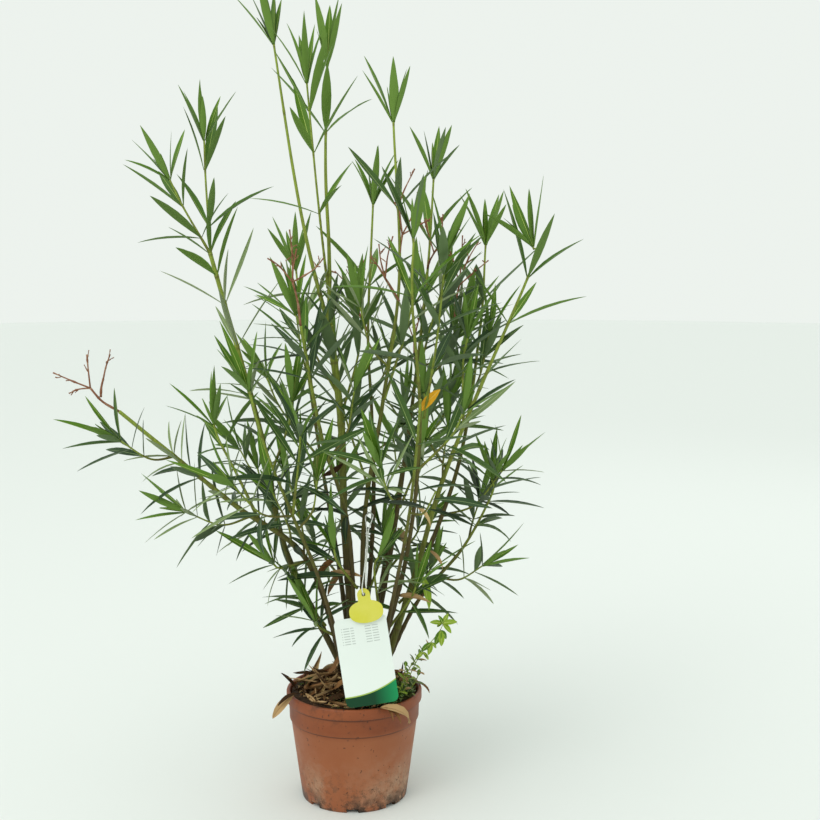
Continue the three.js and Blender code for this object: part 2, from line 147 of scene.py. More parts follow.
class Graph:
    """Short names for adding nodes to one material."""

    def __init__(self, material):
        self.tree = material.node_tree
        self.shader = self.tree.nodes["Principled BSDF"]
        self.place = self.add("ShaderNodeTexCoord").outputs["Object"]

    def add(self, kind, **settings):
        node = self.tree.nodes.new(kind)
        for key, value in settings.items():
            setattr(node, key, value)
        return node

    def link(self, out, into):
        self.tree.links.new(out, into)

    def noise(self, scale, detail=4.0, roughness=0.55, stretch=None):
        """Noise on object coordinates, with the coordinates stretched if asked."""
        node = self.add("ShaderNodeTexNoise")
        node.inputs["Scale"].default_value = scale
        node.inputs["Detail"].default_value = detail
        node.inputs["Roughness"].default_value = roughness
        source = self.place
        if stretch is not None:
            mapping = self.add("ShaderNodeMapping")
            mapping.inputs["Scale"].default_value = stretch
            self.link(source, mapping.inputs["Vector"])
            source = mapping.outputs["Vector"]
        self.link(source, node.inputs["Vector"])
        return node.outputs["Fac"]

    def ramp(self, source, stops):
        """A colour ramp: stops are (position, colour)."""
        node = self.add("ShaderNodeValToRGB")
        elements = node.color_ramp.elements
        while len(elements) < len(stops):
            elements.new(0.5)
        for element, (position, colour) in zip(elements, stops):
            element.position = position
            element.color = (*colour, 1.0)
        self.link(source, node.inputs["Fac"])
        return node.outputs["Color"]

    def grey(self, source, low, high, out_low=0.0, out_high=1.0):
        """A value's stretch from low to high, mapped to out_low to out_high and held there."""
        node = self.add("ShaderNodeMapRange")
        node.inputs["From Min"].default_value = low
        node.inputs["From Max"].default_value = high
        node.inputs["To Min"].default_value = out_low
        node.inputs["To Max"].default_value = out_high
        self.link(source, node.inputs["Value"])
        return node.outputs["Result"]

    def mix(self, share, one, other):
        """Two colours mixed by a share; each is a socket or a plain colour."""
        node = self.add("ShaderNodeMix", data_type="RGBA")
        for value, socket in ((share, node.inputs[0]), (one, node.inputs[6]), (other, node.inputs[7])):
            if hasattr(value, "is_linked"):
                self.link(value, socket)
            elif isinstance(value, tuple):
                socket.default_value = (*value, 1.0)
            else:
                socket.default_value = value
        return node.outputs[2]

    def math(self, operation, one, other=0.0):
        node = self.add("ShaderNodeMath", operation=operation)
        for value, socket in ((one, node.inputs[0]), (other, node.inputs[1])):
            if hasattr(value, "is_linked"):
                self.link(value, socket)
            else:
                socket.default_value = value
        return node.outputs[0]

    def height(self):
        """The object coordinates' Z."""
        node = self.add("ShaderNodeSeparateXYZ")
        self.link(self.place, node.inputs["Vector"])
        return node.outputs["Z"]

    def split(self):
        node = self.add("ShaderNodeSeparateXYZ")
        self.link(self.place, node.inputs["Vector"])
        return node.outputs

    def bump(self, source, strength, distance):
        node = self.add("ShaderNodeBump")
        node.inputs["Strength"].default_value = strength
        node.inputs["Distance"].default_value = distance
        self.link(source, node.inputs["Height"])
        self.link(node.outputs["Normal"], self.shader.inputs["Normal"])

    def colour(self, source):
        self.link(source, self.shader.inputs["Base Color"])

    def gloss(self, source):
        self.link(source, self.shader.inputs["Roughness"])


def pot_plastic():
    """Moulded terracotta plastic: darker at the band, lime bloom low down, dirt at the foot, and painted
    shade in the steps.
    """
    material = principled("pot_plastic", tone(150, 84, 50), 0.5, 0.35)
    g = Graph(material)
    height = g.height()
    wall = g.ramp(g.noise(9.0, 5.0), [(0.3, tone(143, 79, 43)), (0.7, tone(159, 96, 61))])
    band = g.ramp(g.noise(14.0, 5.0), [(0.3, tone(122, 58, 26)), (0.7, tone(140, 74, 38))])
    mottle = g.mix(g.grey(height, 0.104, 0.118), wall, band)
    bloom_place = g.math("MULTIPLY", g.grey(g.noise(13.0, 9.0, 0.72), 0.46, 0.64),
                         g.grey(height, 0.092, 0.016, 0.0, 0.95))
    sides = g.grey(g.math("ABSOLUTE", g.split()["X"]), 0.012, 0.050, 0.35, 1.0)
    bloomed = g.mix(g.math("MULTIPLY", bloom_place, sides), mottle, tone(176, 148, 122))
    fine = g.math("MULTIPLY", g.grey(g.noise(130.0, 8.0, 0.8), 0.50, 0.58),
                  g.grey(height, 0.066, 0.008, 0.0, 0.85))
    dusted = g.mix(fine, bloomed, tone(96, 66, 46))
    foot = g.math("MULTIPLY", g.grey(g.noise(30.0, 8.0, 0.7), 0.47, 0.54), g.grey(height, 0.026, 0.002))
    dirty = g.mix(foot, dusted, tone(50, 36, 26))
    grime = g.math("MULTIPLY", g.grey(g.noise(48.0, 6.0, 0.7), 0.50, 0.64),
                   g.grey(height, 0.105, 0.15, 0.0, 0.55))
    grime_and_step_shade = g.mix(grime, dirty, tone(80, 46, 28))
    # Painted shade: a thin dark line just under the lip and under the band's step, where shade falls in the
    # recess.
    for step, reach in ((LIP_FOOT, 0.0022), (BAND_FOOT, 0.0016)):
        away = g.math("ABSOLUTE", g.math("SUBTRACT", height, step - reach * 0.4))
        line = g.math("MULTIPLY", g.grey(away, reach, 0.0003),
                      g.grey(g.noise(40.0, 4.0), 0.3, 0.6, 0.45, 0.85))
        grime_and_step_shade = g.mix(line, grime_and_step_shade, tone(64, 34, 20))
    specks = g.math("MULTIPLY", g.grey(g.noise(190.0, 2.0), 0.665, 0.70),
                    g.grey(g.noise(30.0, 3.0), 0.42, 0.55))
    g.colour(g.mix(g.math("MULTIPLY", specks, 0.8), grime_and_step_shade, tone(52, 34, 24)))
    g.gloss(g.grey(g.noise(22.0, 4.0), 0.3, 0.7, 0.40, 0.60))
    g.bump(g.noise(420.0, 2.0), 0.12, 0.0004)
    return material


def soil_crumb():
    """Dark peat with paler fibres and grit."""
    material = principled("soil_crumb", tone(54, 40, 28), 0.95, 0.2)
    g = Graph(material)
    crumbs = g.ramp(g.noise(170.0, 8.0, 0.75),
                    [(0.32, tone(26, 19, 13)), (0.55, tone(62, 45, 30)), (0.72, tone(118, 88, 58))])
    moss = g.grey(g.noise(28.0, 5.0, 0.6), 0.5, 0.62, 0.0, 0.8)
    right = g.grey(g.split()["X"], 0.02, 0.06)
    g.colour(g.mix(g.math("MULTIPLY", moss, right), crumbs, tone(84, 92, 38)))
    g.bump(g.noise(320.0, 6.0, 0.7), 0.9, 0.002)
    return material


def bark():
    """Stem skin by age, held in the piece's own attribute: grey-brown at the foot, olive, then green."""
    material = principled("stem_bark", tone(112, 110, 70), 0.66, 0.22)
    g = Graph(material)
    age = g.add("ShaderNodeAttribute", attribute_name="age").outputs["Fac"]
    shift = g.math("ADD", age, g.grey(g.noise(46.0, 5.0, 0.65), 0.3, 0.7, -0.10, 0.10))
    skin = g.ramp(shift, [(0.0, tone(144, 164, 66)), (0.25, tone(130, 144, 56)), (0.45, tone(104, 110, 44)),
                          (0.66, tone(87, 78, 41)), (1.0, tone(67, 54, 33))])
    streak = g.grey(g.noise(900.0, 3.0, 0.5, (1.0, 1.0, 0.06)), 0.45, 0.62, 0.0, 0.42)
    streaked = g.mix(streak, skin, tone(58, 50, 36))
    scar = g.add("ShaderNodeAttribute", attribute_name="scar").outputs["Fac"]
    g.colour(g.mix(g.math("MULTIPLY", scar, 0.55), streaked, tone(84, 62, 44)))
    g.bump(g.noise(700.0, 4.0, 0.6, (1.0, 1.0, 0.15)), 0.5, 0.0006)
    return material


def dry_stalk():
    """Dead flower stalks: red-brown with paler dry stretches."""
    material = principled("dry_stalk", tone(122, 78, 60), 0.8, 0.2)
    g = Graph(material)
    g.colour(g.ramp(g.noise(120.0, 5.0, 0.6),
                    [(0.3, tone(112, 70, 50)), (0.55, tone(142, 98, 74)), (0.75, tone(178, 150, 124))]))
    g.bump(g.noise(600.0, 4.0), 0.6, 0.0006)
    return material


def printed_card():
    """White card with rows of grey dashes, and a green band, lighter to the right, under a long curve."""
    material = principled("printed_card", tone(240, 244, 240), 0.35, 0.25)
    g = Graph(material)
    uv = g.add("ShaderNodeUVMap", uv_map="sheet").outputs["UV"]
    node = g.add("ShaderNodeSeparateXYZ")
    g.link(uv, node.inputs["Vector"])
    across, up = node.outputs["X"], node.outputs["Y"]
    bow = g.math("MULTIPLY", g.math("POWER", across, 2.4), 0.135)
    edge = g.math("ADD", bow, 0.11)
    band = g.math("LESS_THAN", up, edge)
    rim = g.math("MULTIPLY", g.math("LESS_THAN", up, g.math("ADD", edge, 0.014)),
                 g.math("SUBTRACT", 1.0, band))
    row = g.math("LESS_THAN", g.math("FRACT", g.math("MULTIPLY", up, 34.0)), 0.34)
    gap = g.math("GREATER_THAN", g.math("FRACT", g.math("MULTIPLY", across, 7.3)), 0.16)
    high = g.math("MULTIPLY", g.math("GREATER_THAN", up, 0.70), g.math("LESS_THAN", up, 0.90))
    left = g.math("MULTIPLY", g.math("GREATER_THAN", across, 0.12), g.math("LESS_THAN", across, 0.36))
    right = g.math("MULTIPLY", g.math("GREATER_THAN", across, 0.56), g.math("LESS_THAN", across, 0.84))
    where = g.math("MULTIPLY", high, g.math("ADD", left, right))
    print_share = g.math("MULTIPLY", g.math("MULTIPLY", row, gap), where)
    sheet = g.mix(g.math("MULTIPLY", print_share, 0.45), tone(230, 238, 232), tone(112, 122, 116))
    sheet = g.mix(rim, sheet, tone(158, 186, 84))
    green = g.mix(g.grey(across, 0.55, 1.0), tone(2, 60, 32), tone(18, 142, 84))
    g.colour(g.mix(band, sheet, green))
    g.gloss(g.grey(g.noise(30.0, 3.0), 0.3, 0.7, 0.28, 0.42))
    return material


def yellow_tag():
    """Plain yellow plastic with a barely uneven tint."""
    material = principled("yellow_tag", tone(214, 208, 74), 0.4, 0.3)
    g = Graph(material)
    g.colour(g.ramp(g.noise(40.0, 3.0), [(0.3, tone(210, 206, 66)), (0.7, tone(218, 213, 92))]))
    return material


def tie_string():
    """Thin white twine with a fine twist."""
    material = principled("tie_string", tone(226, 228, 222), 0.7, 0.3)
    g = Graph(material)
    g.colour(g.ramp(g.noise(900.0, 2.0), [(0.35, tone(206, 208, 200)), (0.65, tone(238, 240, 234))]))
    g.bump(g.noise(1500.0, 2.0), 0.4, 0.0002)
    return material


def studio_floor():
    material = principled("studio_floor", (0.745, 0.775, 0.75), 0.75, 0.2)
    g = Graph(material)
    g.bump(g.noise(3.0, 2.0), 0.02, 0.001)
    return material


# Each kind of leaf: upper side, underside and midrib, as plain colours.
LEAF_COLOURS = {
    "bright": (tone(84, 121, 31), tone(104, 136, 58), tone(174, 194, 102)),
    "fresh": (tone(69, 104, 29), tone(96, 124, 60), tone(152, 172, 88)),
    "mid": (tone(61, 89, 38), tone(100, 122, 80), tone(138, 158, 94)),
    "dark": (tone(48, 72, 40), tone(98, 116, 85), tone(118, 138, 92)),
    "deep": (tone(30, 47, 24), tone(80, 97, 68), tone(88, 106, 66)),
    # The pale kind is painted sheen: greyed, lighter leaves that stand in for glancing light on the gloss.
    "pale": (tone(122, 142, 92), tone(146, 160, 120), tone(164, 178, 132)),
    "olive": (tone(84, 98, 30), tone(112, 124, 66), tone(146, 154, 88)),
    "yellow": (tone(216, 160, 30), tone(206, 164, 52), tone(222, 186, 84)),
    "lime": (tone(134, 162, 46), tone(148, 170, 70), tone(184, 196, 106)),
    "brown": (tone(132, 94, 57), tone(150, 116, 78), tone(104, 68, 40)),
    "dusk": (tone(62, 42, 24), tone(82, 60, 38), tone(50, 34, 20)),
    "tan": (tone(180, 148, 104), tone(186, 156, 114), tone(140, 106, 70)),
    "straw": (tone(200, 174, 122), tone(192, 166, 118), tone(172, 142, 96)),
}
KINDS = list(LEAF_COLOURS)
DEAD = {"brown", "dusk", "tan", "straw"}


def leaf_materials():
    """Three plain-coloured materials for each kind; a fine grain roughens the light on them."""
    made = []
    for kind, colours in LEAF_COLOURS.items():
        for part, colour in zip(("upper", "under", "rib"), colours):
            dull = 0.75 if kind in DEAD else (0.45 if part == "upper" else 0.6)
            material = principled(f"leaf_{kind}_{part}", colour, dull, 0.12 if kind in DEAD else 0.18)
            g = Graph(material)
            g.bump(g.noise(260.0, 3.0, 0.6), 0.25, 0.0006)
            made.append(material)
    return made


# ---------------------------------------------------------------- building meshes

def new_piece(name, points, quads=(), tris=(), materials=(), quad_slots=0, tri_slots=0, creases=None):
    """Points and faces as one smooth-shaded object at the origin; creases are sharp vertex pairs."""
    quads = np.asarray(quads, np.int32).reshape(-1, 4)
    tris = np.asarray(tris, np.int32).reshape(-1, 3)
    mesh = bpy.data.meshes.new(name)
    mesh.vertices.add(len(points))
    mesh.vertices.foreach_set("co", np.asarray(points, np.float32).ravel())
    corners = np.concatenate([quads.ravel(), tris.ravel()])
    mesh.loops.add(len(corners))
    mesh.loops.foreach_set("vertex_index", corners)
    starts = np.concatenate([np.arange(len(quads)) * 4, len(quads) * 4 + np.arange(len(tris)) * 3])
    mesh.polygons.add(len(starts))
    mesh.polygons.foreach_set("loop_start", starts.astype(np.int32))
    slots = np.concatenate([np.broadcast_to(quad_slots, len(quads)), np.broadcast_to(tri_slots, len(tris))])
    for material in materials:
        mesh.materials.append(material)
    mesh.polygons.foreach_set("material_index", slots.astype(np.int32))
    mesh.polygons.foreach_set("use_smooth", np.ones(len(starts), bool))
    mesh.update(calc_edges=True)
    if creases is not None:
        ends = np.empty(len(mesh.edges) * 2, np.int32)
        mesh.edges.foreach_get("vertices", ends)
        ends = np.sort(ends.reshape(-1, 2), axis=1).astype(np.int64)
        wanted = np.sort(np.asarray(creases, np.int64), axis=1)
        span = len(points) + 1
        sharp = np.isin(ends[:, 0] * span + ends[:, 1], wanted[:, 0] * span + wanted[:, 1])
        flag = mesh.attributes.new("sharp_edge", "BOOLEAN", "EDGE")
        flag.data.foreach_set("value", sharp)
    piece = bpy.data.objects.new(name, mesh)
    bpy.context.scene.collection.objects.link(piece)
    return piece


def grid_quads(rows, columns, close_columns=False, close_rows=False):
    """Quads of a rows x columns grid of points, numbered row by row."""
    i = np.arange(rows if close_rows else rows - 1)
    j = np.arange(columns if close_columns else columns - 1)
    i, j = np.meshgrid(i, j, indexing="ij")
    i2, j2 = (i + 1) % rows, (j + 1) % columns
    corners = [i * columns + j, i * columns + j2, i2 * columns + j2, i2 * columns + j]
    return np.stack(corners, -1).reshape(-1, 4)


def set_attribute(piece, name, values):
    flag = piece.data.attributes.new(name, "FLOAT", "POINT")
    flag.data.foreach_set("value", np.asarray(values, np.float32))


def unit(vectors):
    return vectors / np.maximum(np.linalg.norm(vectors, axis=-1, keepdims=True), 1e-9)


def ripple(points, scale, seed):
    """A smooth made-up unevenness from -1 to 1: the mean of six sine waves in seeded directions."""
    rng = np.random.default_rng(seed)
    waves = unit(rng.normal(size=(6, 3))) * scale * rng.uniform(0.6, 1.7, (6, 1))
    return np.sin(np.asarray(points) @ waves.T + rng.uniform(0, TURN, 6)).mean(-1) * 1.6


class Limb:
    """A smooth path through its knots, read by share of its length."""

    def __init__(self, knots, foot_radius=0.0, tip_radius=0.0):
        k = np.array(knots, float) * MM
        k = np.vstack([2 * k[0] - k[1], k, 2 * k[-1] - k[-2]])
        t = np.linspace(0, len(knots) - 1 - 1e-9, 60 * (len(knots) - 1) + 1)
        i = t.astype(int)
        f = (t - i)[:, None]
        a, b, c, d = k[i], k[i + 1], k[i + 2], k[i + 3]
        self.points = 0.5 * (2 * b + (c - a) * f + (2 * a - 5 * b + 4 * c - d) * f ** 2
                             + (3 * b - a - 3 * c + d) * f ** 3)
        steps = np.linalg.norm(np.diff(self.points, axis=0), axis=1)
        self.run = np.concatenate([[0.0], np.cumsum(steps)])
        self.length = self.run[-1]
        self.radii = (foot_radius * MM, tip_radius * MM)
        self.nodes = []

    def at(self, share):
        where = np.clip(np.asarray(share, float), 0, 1) * self.length
        return np.stack([np.interp(where, self.run, self.points[:, axis]) for axis in range(3)], -1)

    def heading(self, share):
        step = 0.004 / self.length
        share = np.asarray(share, float)
        return unit(self.at(np.minimum(share + step, 1)) - self.at(np.maximum(share - step, 0)))


def cross_axes(heading):
    """Two directions square to each heading and to each other, steady along a path."""
    side = np.array([0.0, 1.0, 0.0]) - heading * heading[..., 1:2]
    side = unit(side)
    return side, np.cross(side, heading)


def tube(limb, shares, radii, sides):
    """Rings of points round a limb, radius by ring or by ring and side, closed by a point at each end."""
    centre = limb.at(shares)
    heading = limb.heading(shares)
    side, out = cross_axes(heading)
    angle = np.arange(sides) / sides * TURN
    ring = (np.cos(angle)[None, :, None] * side[:, None] + np.sin(angle)[None, :, None] * out[:, None])
    radii = np.asarray(radii)
    if radii.ndim == 1:
        radii = np.repeat(radii[:, None], sides, axis=1)
    points = centre[:, None] + ring * radii[..., None]
    rows = len(shares)
    quads = grid_quads(rows, sides, close_columns=True)
    foot, tip = rows * sides, rows * sides + 1
    near = np.arange(sides)
    after = (near + 1) % sides
    last = (rows - 1) * sides
    tris = np.concatenate([np.stack([after, near, np.full(sides, foot)], -1),
                           np.stack([last + near, last + after, np.full(sides, tip)], -1)])
    return np.vstack([points.reshape(-1, 3), centre[:1], centre[-1:]]), quads, tris


class Heap:
    """Gathers points and faces of many small parts that become one piece."""

    def __init__(self):
        self.points, self.quads, self.tris, self.marks = [], [], [], []
        self.count = 0

    def put(self, points, quads, tris, **marks):
        self.points.append(points)
        self.quads.append(np.asarray(quads).reshape(-1, 4) + self.count)
        self.tris.append(np.asarray(tris).reshape(-1, 3) + self.count)
        self.marks.append(marks)
        self.count += len(points)

    def build(self, name, materials):
        piece = new_piece(name, np.vstack(self.points), np.vstack(self.quads), np.vstack(self.tris),
                          materials)
        for mark in self.marks[0]:
            set_attribute(piece, mark, np.concatenate([marks[mark] for marks in self.marks]))
        return piece


# ---------------------------------------------------------------- leaves

# Stations along a leaf, as shares of its length; the tip is one more point.
STATIONS = np.array([0.0, 0.05, 0.16, 0.32, 0.50, 0.68, 0.84, 0.94])
RIB_HALF = 0.00042
LEAF_POINTS = len(STATIONS) * 5 + 1


def leaf_faces():
    """One leaf's faces: three strips above, two below, a fan at the tip and a cap at the foot."""
    i = np.arange(len(STATIONS) - 1) * 5
    j = i + 5
    quads, kinds = [], []
    for strip, part in (((0, 1), 0), ((1, 2), 2), ((2, 3), 0)):
        a, b = strip
        quads.append(np.stack([i + a, j + a, j + b, i + b], -1))
        kinds += [part] * len(i)
    for a, b in ((0, 4), (4, 3)):
        quads.append(np.stack([i + a, i + b, j + b, j + a], -1))
        kinds += [1] * len(i)
    m = (len(STATIONS) - 1) * 5
    t = m + 5
    tris = [(m, t, m + 1), (m + 1, t, m + 2), (m + 2, t, m + 3), (m, m + 4, t), (m + 4, m + 3, t),
            (0, 1, 4), (1, 2, 4), (2, 3, 4)]
    tri_kinds = [0, 2, 0, 1, 1, 2, 2, 2]
    outline = [(a + side, a + 5 + side) for a in i for side in (0, 3)] + [(m, t), (m + 3, t)]
    return np.concatenate(quads), np.array(kinds), np.array(tris), np.array(tri_kinds), np.array(outline)


LEAF_QUADS, LEAF_QUAD_PARTS, LEAF_TRIS, LEAF_TRI_PARTS, LEAF_OUTLINE = leaf_faces()


# Leaves keep out of the pot, and out of the view of the label, its string, the weed, the yellow
# leaf and one bright leaf.
CLEAR_BOXES = np.array([
    [(-28, -300, 150), (70, -56, 326)],
    [(2, -300, 300), (32, -20, 402)],
    [(108, -300, 236), (146, -52, 276)],
    [(-86, -86, 100), (86, 86, 172)],
    [(84, -300, 548), (120, -90, 586)],
    [(92, -300, 460), (128, -84, 500)],
]) * MM


class LeafBed:
    """Gathers leaves, each a foot, heading, face direction and sizes, and builds them as one piece.

    A leaf's middle line is an arc that bends away from its face by the angle `bow`; its half width
    is sin(pi u^a)^b of its length share u; `fold` lifts both edges; `twist` turns it about its line.
    """

    def __init__(self):
        self.rows = []

    def add(self, foot, heading, face, length, width, bow=0.3, fold=0.3, twist=0.0, kind="mid", blunt=0.85):
        self.rows.append((*foot, *heading, *face, length, width, bow, fold, twist, KINDS.index(kind), blunt))

    def keep_off_wall(self):
        """Drops each leaf that would reach into the pot's wall from inside."""
        points, _ = self.shape()
        reach = np.hypot(points[..., 0], points[..., 1])
        into_wall = ((reach > POT_INSIDE) & (points[..., 2] < POT_HEIGHT + 0.0015)).any(1)
        self.rows = [row for row, struck in zip(self.rows, into_wall) if not struck]

    def shape(self):
        rows = np.array(self.rows)
        foot, heading, face = rows[:, 0:3], unit(rows[:, 3:6]), rows[:, 6:9]
        length, width, bow, fold, twist, kind, blunt = rows[:, 9:16].T
        bow = np.where(np.abs(bow) < 0.01, 0.01, bow)
        face = unit(face - heading * (face * heading).sum(-1, keepdims=True))
        side = np.cross(heading, face)
        end = (np.sin(bow) / bow)[:, None] * heading - ((1 - np.cos(bow)) / bow)[:, None] * face
        room = np.where(end > 0, CAD_HIGH + 0.008 - foot, foot - CAD_LOW + 0.008)
        fit = np.min(room / np.maximum(np.abs(end) * length[:, None], 1e-6), axis=1)
        length = length * np.clip(fit, 0.25, 1.0)
        u = STATIONS[None, :]
        swing = bow[:, None] * u
        along = (np.sin(swing) / bow[:, None] * length[:, None])[..., None]
        off = ((1 - np.cos(swing)) / bow[:, None] * length[:, None])[..., None]
        centre = foot[:, None] + heading[:, None] * along - face[:, None] * off
        normal = face[:, None] * np.cos(swing)[..., None] + heading[:, None] * np.sin(swing)[..., None]
        turn = (twist[:, None] * u)[..., None]
        across = side[:, None] * np.cos(turn) + normal * np.sin(turn)
        up = normal * np.cos(turn) - side[:, None] * np.sin(turn)
        half = 0.5 * width[:, None] * np.sin(np.pi * u ** 0.88) ** blunt[:, None]
        half = np.maximum(half, 0.0009)[..., None]
        rib = np.minimum(RIB_HALF * (1.25 - u), 1.0)[..., None] * np.ones_like(half)
        lift = np.sin(fold)[:, None, None]
        flat = np.cos(fold)[:, None, None]
        edge_left = centre + across * half * flat + up * half * lift
        edge_right = centre - across * half * flat + up * half * lift
        under = centre - up * (0.00055 * (1.2 - u))[..., None]
        blades = np.stack([edge_left, centre + across * rib, centre - across * rib, edge_right, under], 2)
        ahead = (np.sin(bow) / bow * length)[:, None]
        back = ((1 - np.cos(bow)) / bow * length)[:, None]
        tip = foot + heading * ahead - face * back
        points = np.concatenate([blades.reshape(len(rows), -1, 3), tip[:, None]], 1)
        return points, kind.astype(int)

    def build(self, name, materials, *nodes, clear=True):
        points, kind = self.shape()
        if clear:
            inside = (points[:, :, None] > CLEAR_BOXES[:, 0]) & (points[:, :, None] < CLEAR_BOXES[:, 1])
            kept = ~inside.all(-1).any((1, 2))
            points, kind = points[kept], kind[kept]
        count = len(points)
        base = (np.arange(count) * LEAF_POINTS)[:, None, None]
        quads = (LEAF_QUADS[None] + base).reshape(-1, 4)
        tris = (LEAF_TRIS[None] + base).reshape(-1, 3)
        creases = (LEAF_OUTLINE[None] + base).reshape(-1, 2)
        quad_slots = (kind[:, None] * 3 + LEAF_QUAD_PARTS[None]).ravel()
        tri_slots = (kind[:, None] * 3 + LEAF_TRI_PARTS[None]).ravel()
        used = np.unique(quad_slots)
        where = np.zeros(len(materials), int)
        where[used] = np.arange(len(used))
        piece = new_piece(name, points.reshape(-1, 3), quads, tris, [materials[i] for i in used],
                          where[quad_slots], where[tri_slots], creases)
        finish(piece, "leaf", *nodes)
        return piece


def finish(piece, slot, *nodes):
    """Rides a piece on the plant's one body, and hides the CAD nodes it stands for."""
    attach(piece, "root")
    if nodes:
        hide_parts(*nodes)


# ---------------------------------------------------------------- how the plant grows

# Each limb: the knots of its path as in the CAD model, in mm, its radius at foot and tip, the
# point that its last leaf reaches (None where it forks or ends in dry flower stalks), how old its
# foot's skin is (1 grey-brown, 0 green), the shares of its length where leaves begin and end, the
# usual gap between whorls in mm, and its region.
FOOT = 166
LIMBS = {
    "stem_low_left": ([(-8, -9, FOOT), (-61, -31, 339), (-160, -48, 423), (-302, -64, 547)],
                      5.0, 2.2, None, 0.9, (0.40, 0.82), 36, "low_left"),
    "stem_tall_left": ([(-11, 6, FOOT), (-95, 22, 342), (-130, 42, 505), (-200, 70, 752)],
                       5.2, 2.6, None, 0.75, (0.20, 1.0), 82, "tall_left"),
    "stem_thin_left": ([(3, -16, FOOT), (-4, -34, 380), (-38, -57, 512), (-62, -84, 660)],
                       3.4, 1.8, None, 1.0, (0.27, 0.94), 50, "centre"),
    "stem_centre": ([(2, -1, FOOT), (-12, 5, 380), (-16, 9, 520), (-31, 14, 655)],
                    6.0, 4.4, None, 0.9, (0.27, 1.0), 60, "centre"),
    "stem_middle": ([(15, -10, FOOT), (15, -18, 380), (41, -32, 550), (64, -47, 720)],
                    4.6, 2.6, (54, -62, 998), 0.8, (0.16, 1.0), 58, "middle"),
    "stem_back_middle": ([(11, 17, FOOT), (26, 50, 380), (24, 78, 520), (18, 110, 640)],
                         4.2, 2.4, (28, 150, 900), 1.0, (0.18, 1.0), 56, "rear"),
    "stem_mid_right": ([(19, 5, FOOT), (56, 46, 365), (84, 88, 560), (104, 126, 735)],
                       4.6, 2.4, (117, 158, 936), 0.95, (0.17, 1.0), 58, "right"),
    "stem_slim_right": ([(27, -14, FOOT), (73, -43, 347), (91, -85, 525), (81, -128, 690)],
                        4.2, 2.2, (84, -150, 850), 0.95, (0.19, 1.0), 58, "middle"),
    "stem_green_right": ([(38, -2, FOOT), (86, -9, 319), (131, -16, 472), (236, -30, 728)],
                         5.4, 2.8, (248, -32, 840), 0.55, (0.18, 1.0), 62, "right"),
    "stem_back_right": ([(28, 17, FOOT), (79, 28, 278), (146, 68, 452), (178, 112, 640)],
                        4.8, 2.4, (192, 140, 842), 0.95, (0.17, 1.0), 56, "right"),
    "stem_far_right": ([(38, 11, FOOT), (88, 24, 266), (152, 43, 339), (193, 58, 412)],
                       3.8, 2.0, (198, 62, 500), 0.95, (0.30, 1.0), 58, "right"),
    "stem_rear_left": ([(-1, 14, FOOT), (-26, 72, 320), (-52, 128, 450), (-78, 185, 600)],
                       4.4, 2.2, (-104, 250, 800), 0.95, (0.18, 1.0), 54, "rear"),
    "stem_rear_right": ([(21, 27, FOOT), (42, 88, 310), (66, 146, 430), (88, 206, 570)],
                        4.4, 2.2, (112, 282, 760), 0.95, (0.18, 1.0), 54, "rear"),
    "stem_front": ([(30, -24, FOOT), (56, -66, 300), (74, -112, 400), (84, -160, 490)],
                   3.6, 2.0, (96, -246, 650), 0.95, (0.42, 1.0), 54, "front"),
    "stem_front_left": ([(-5, -22, FOOT), (-40, -76, 320), (-72, -118, 420), (-100, -158, 510)],
                        3.4, 2.0, (-130, -226, 660), 0.9, (0.42, 1.0), 54, "front"),
    "stem_top_left": ([(-33, 15, 655), (-60, 34, 757), (-82, 48, 870)],
                      3.4, 2.4, (-118, 62, 1111), 0.20, (0.10, 1.0), 84, "top"),
    "stem_top_middle": ([(-31, 13, 655), (-31, 13, 757), (-35, 17, 866)],
                        3.6, 2.6, (-30, 22, 1078), 0.25, (0.10, 1.0), 78, "top"),
    "shoot_low_left": ([(-126, -35, 398), (-151, -26, 449), (-177, -29, 503)],
                       2.2, 1.6, (-205, -26, 590), 0.3, (0.2, 1.0), 44, "low_left"),
}

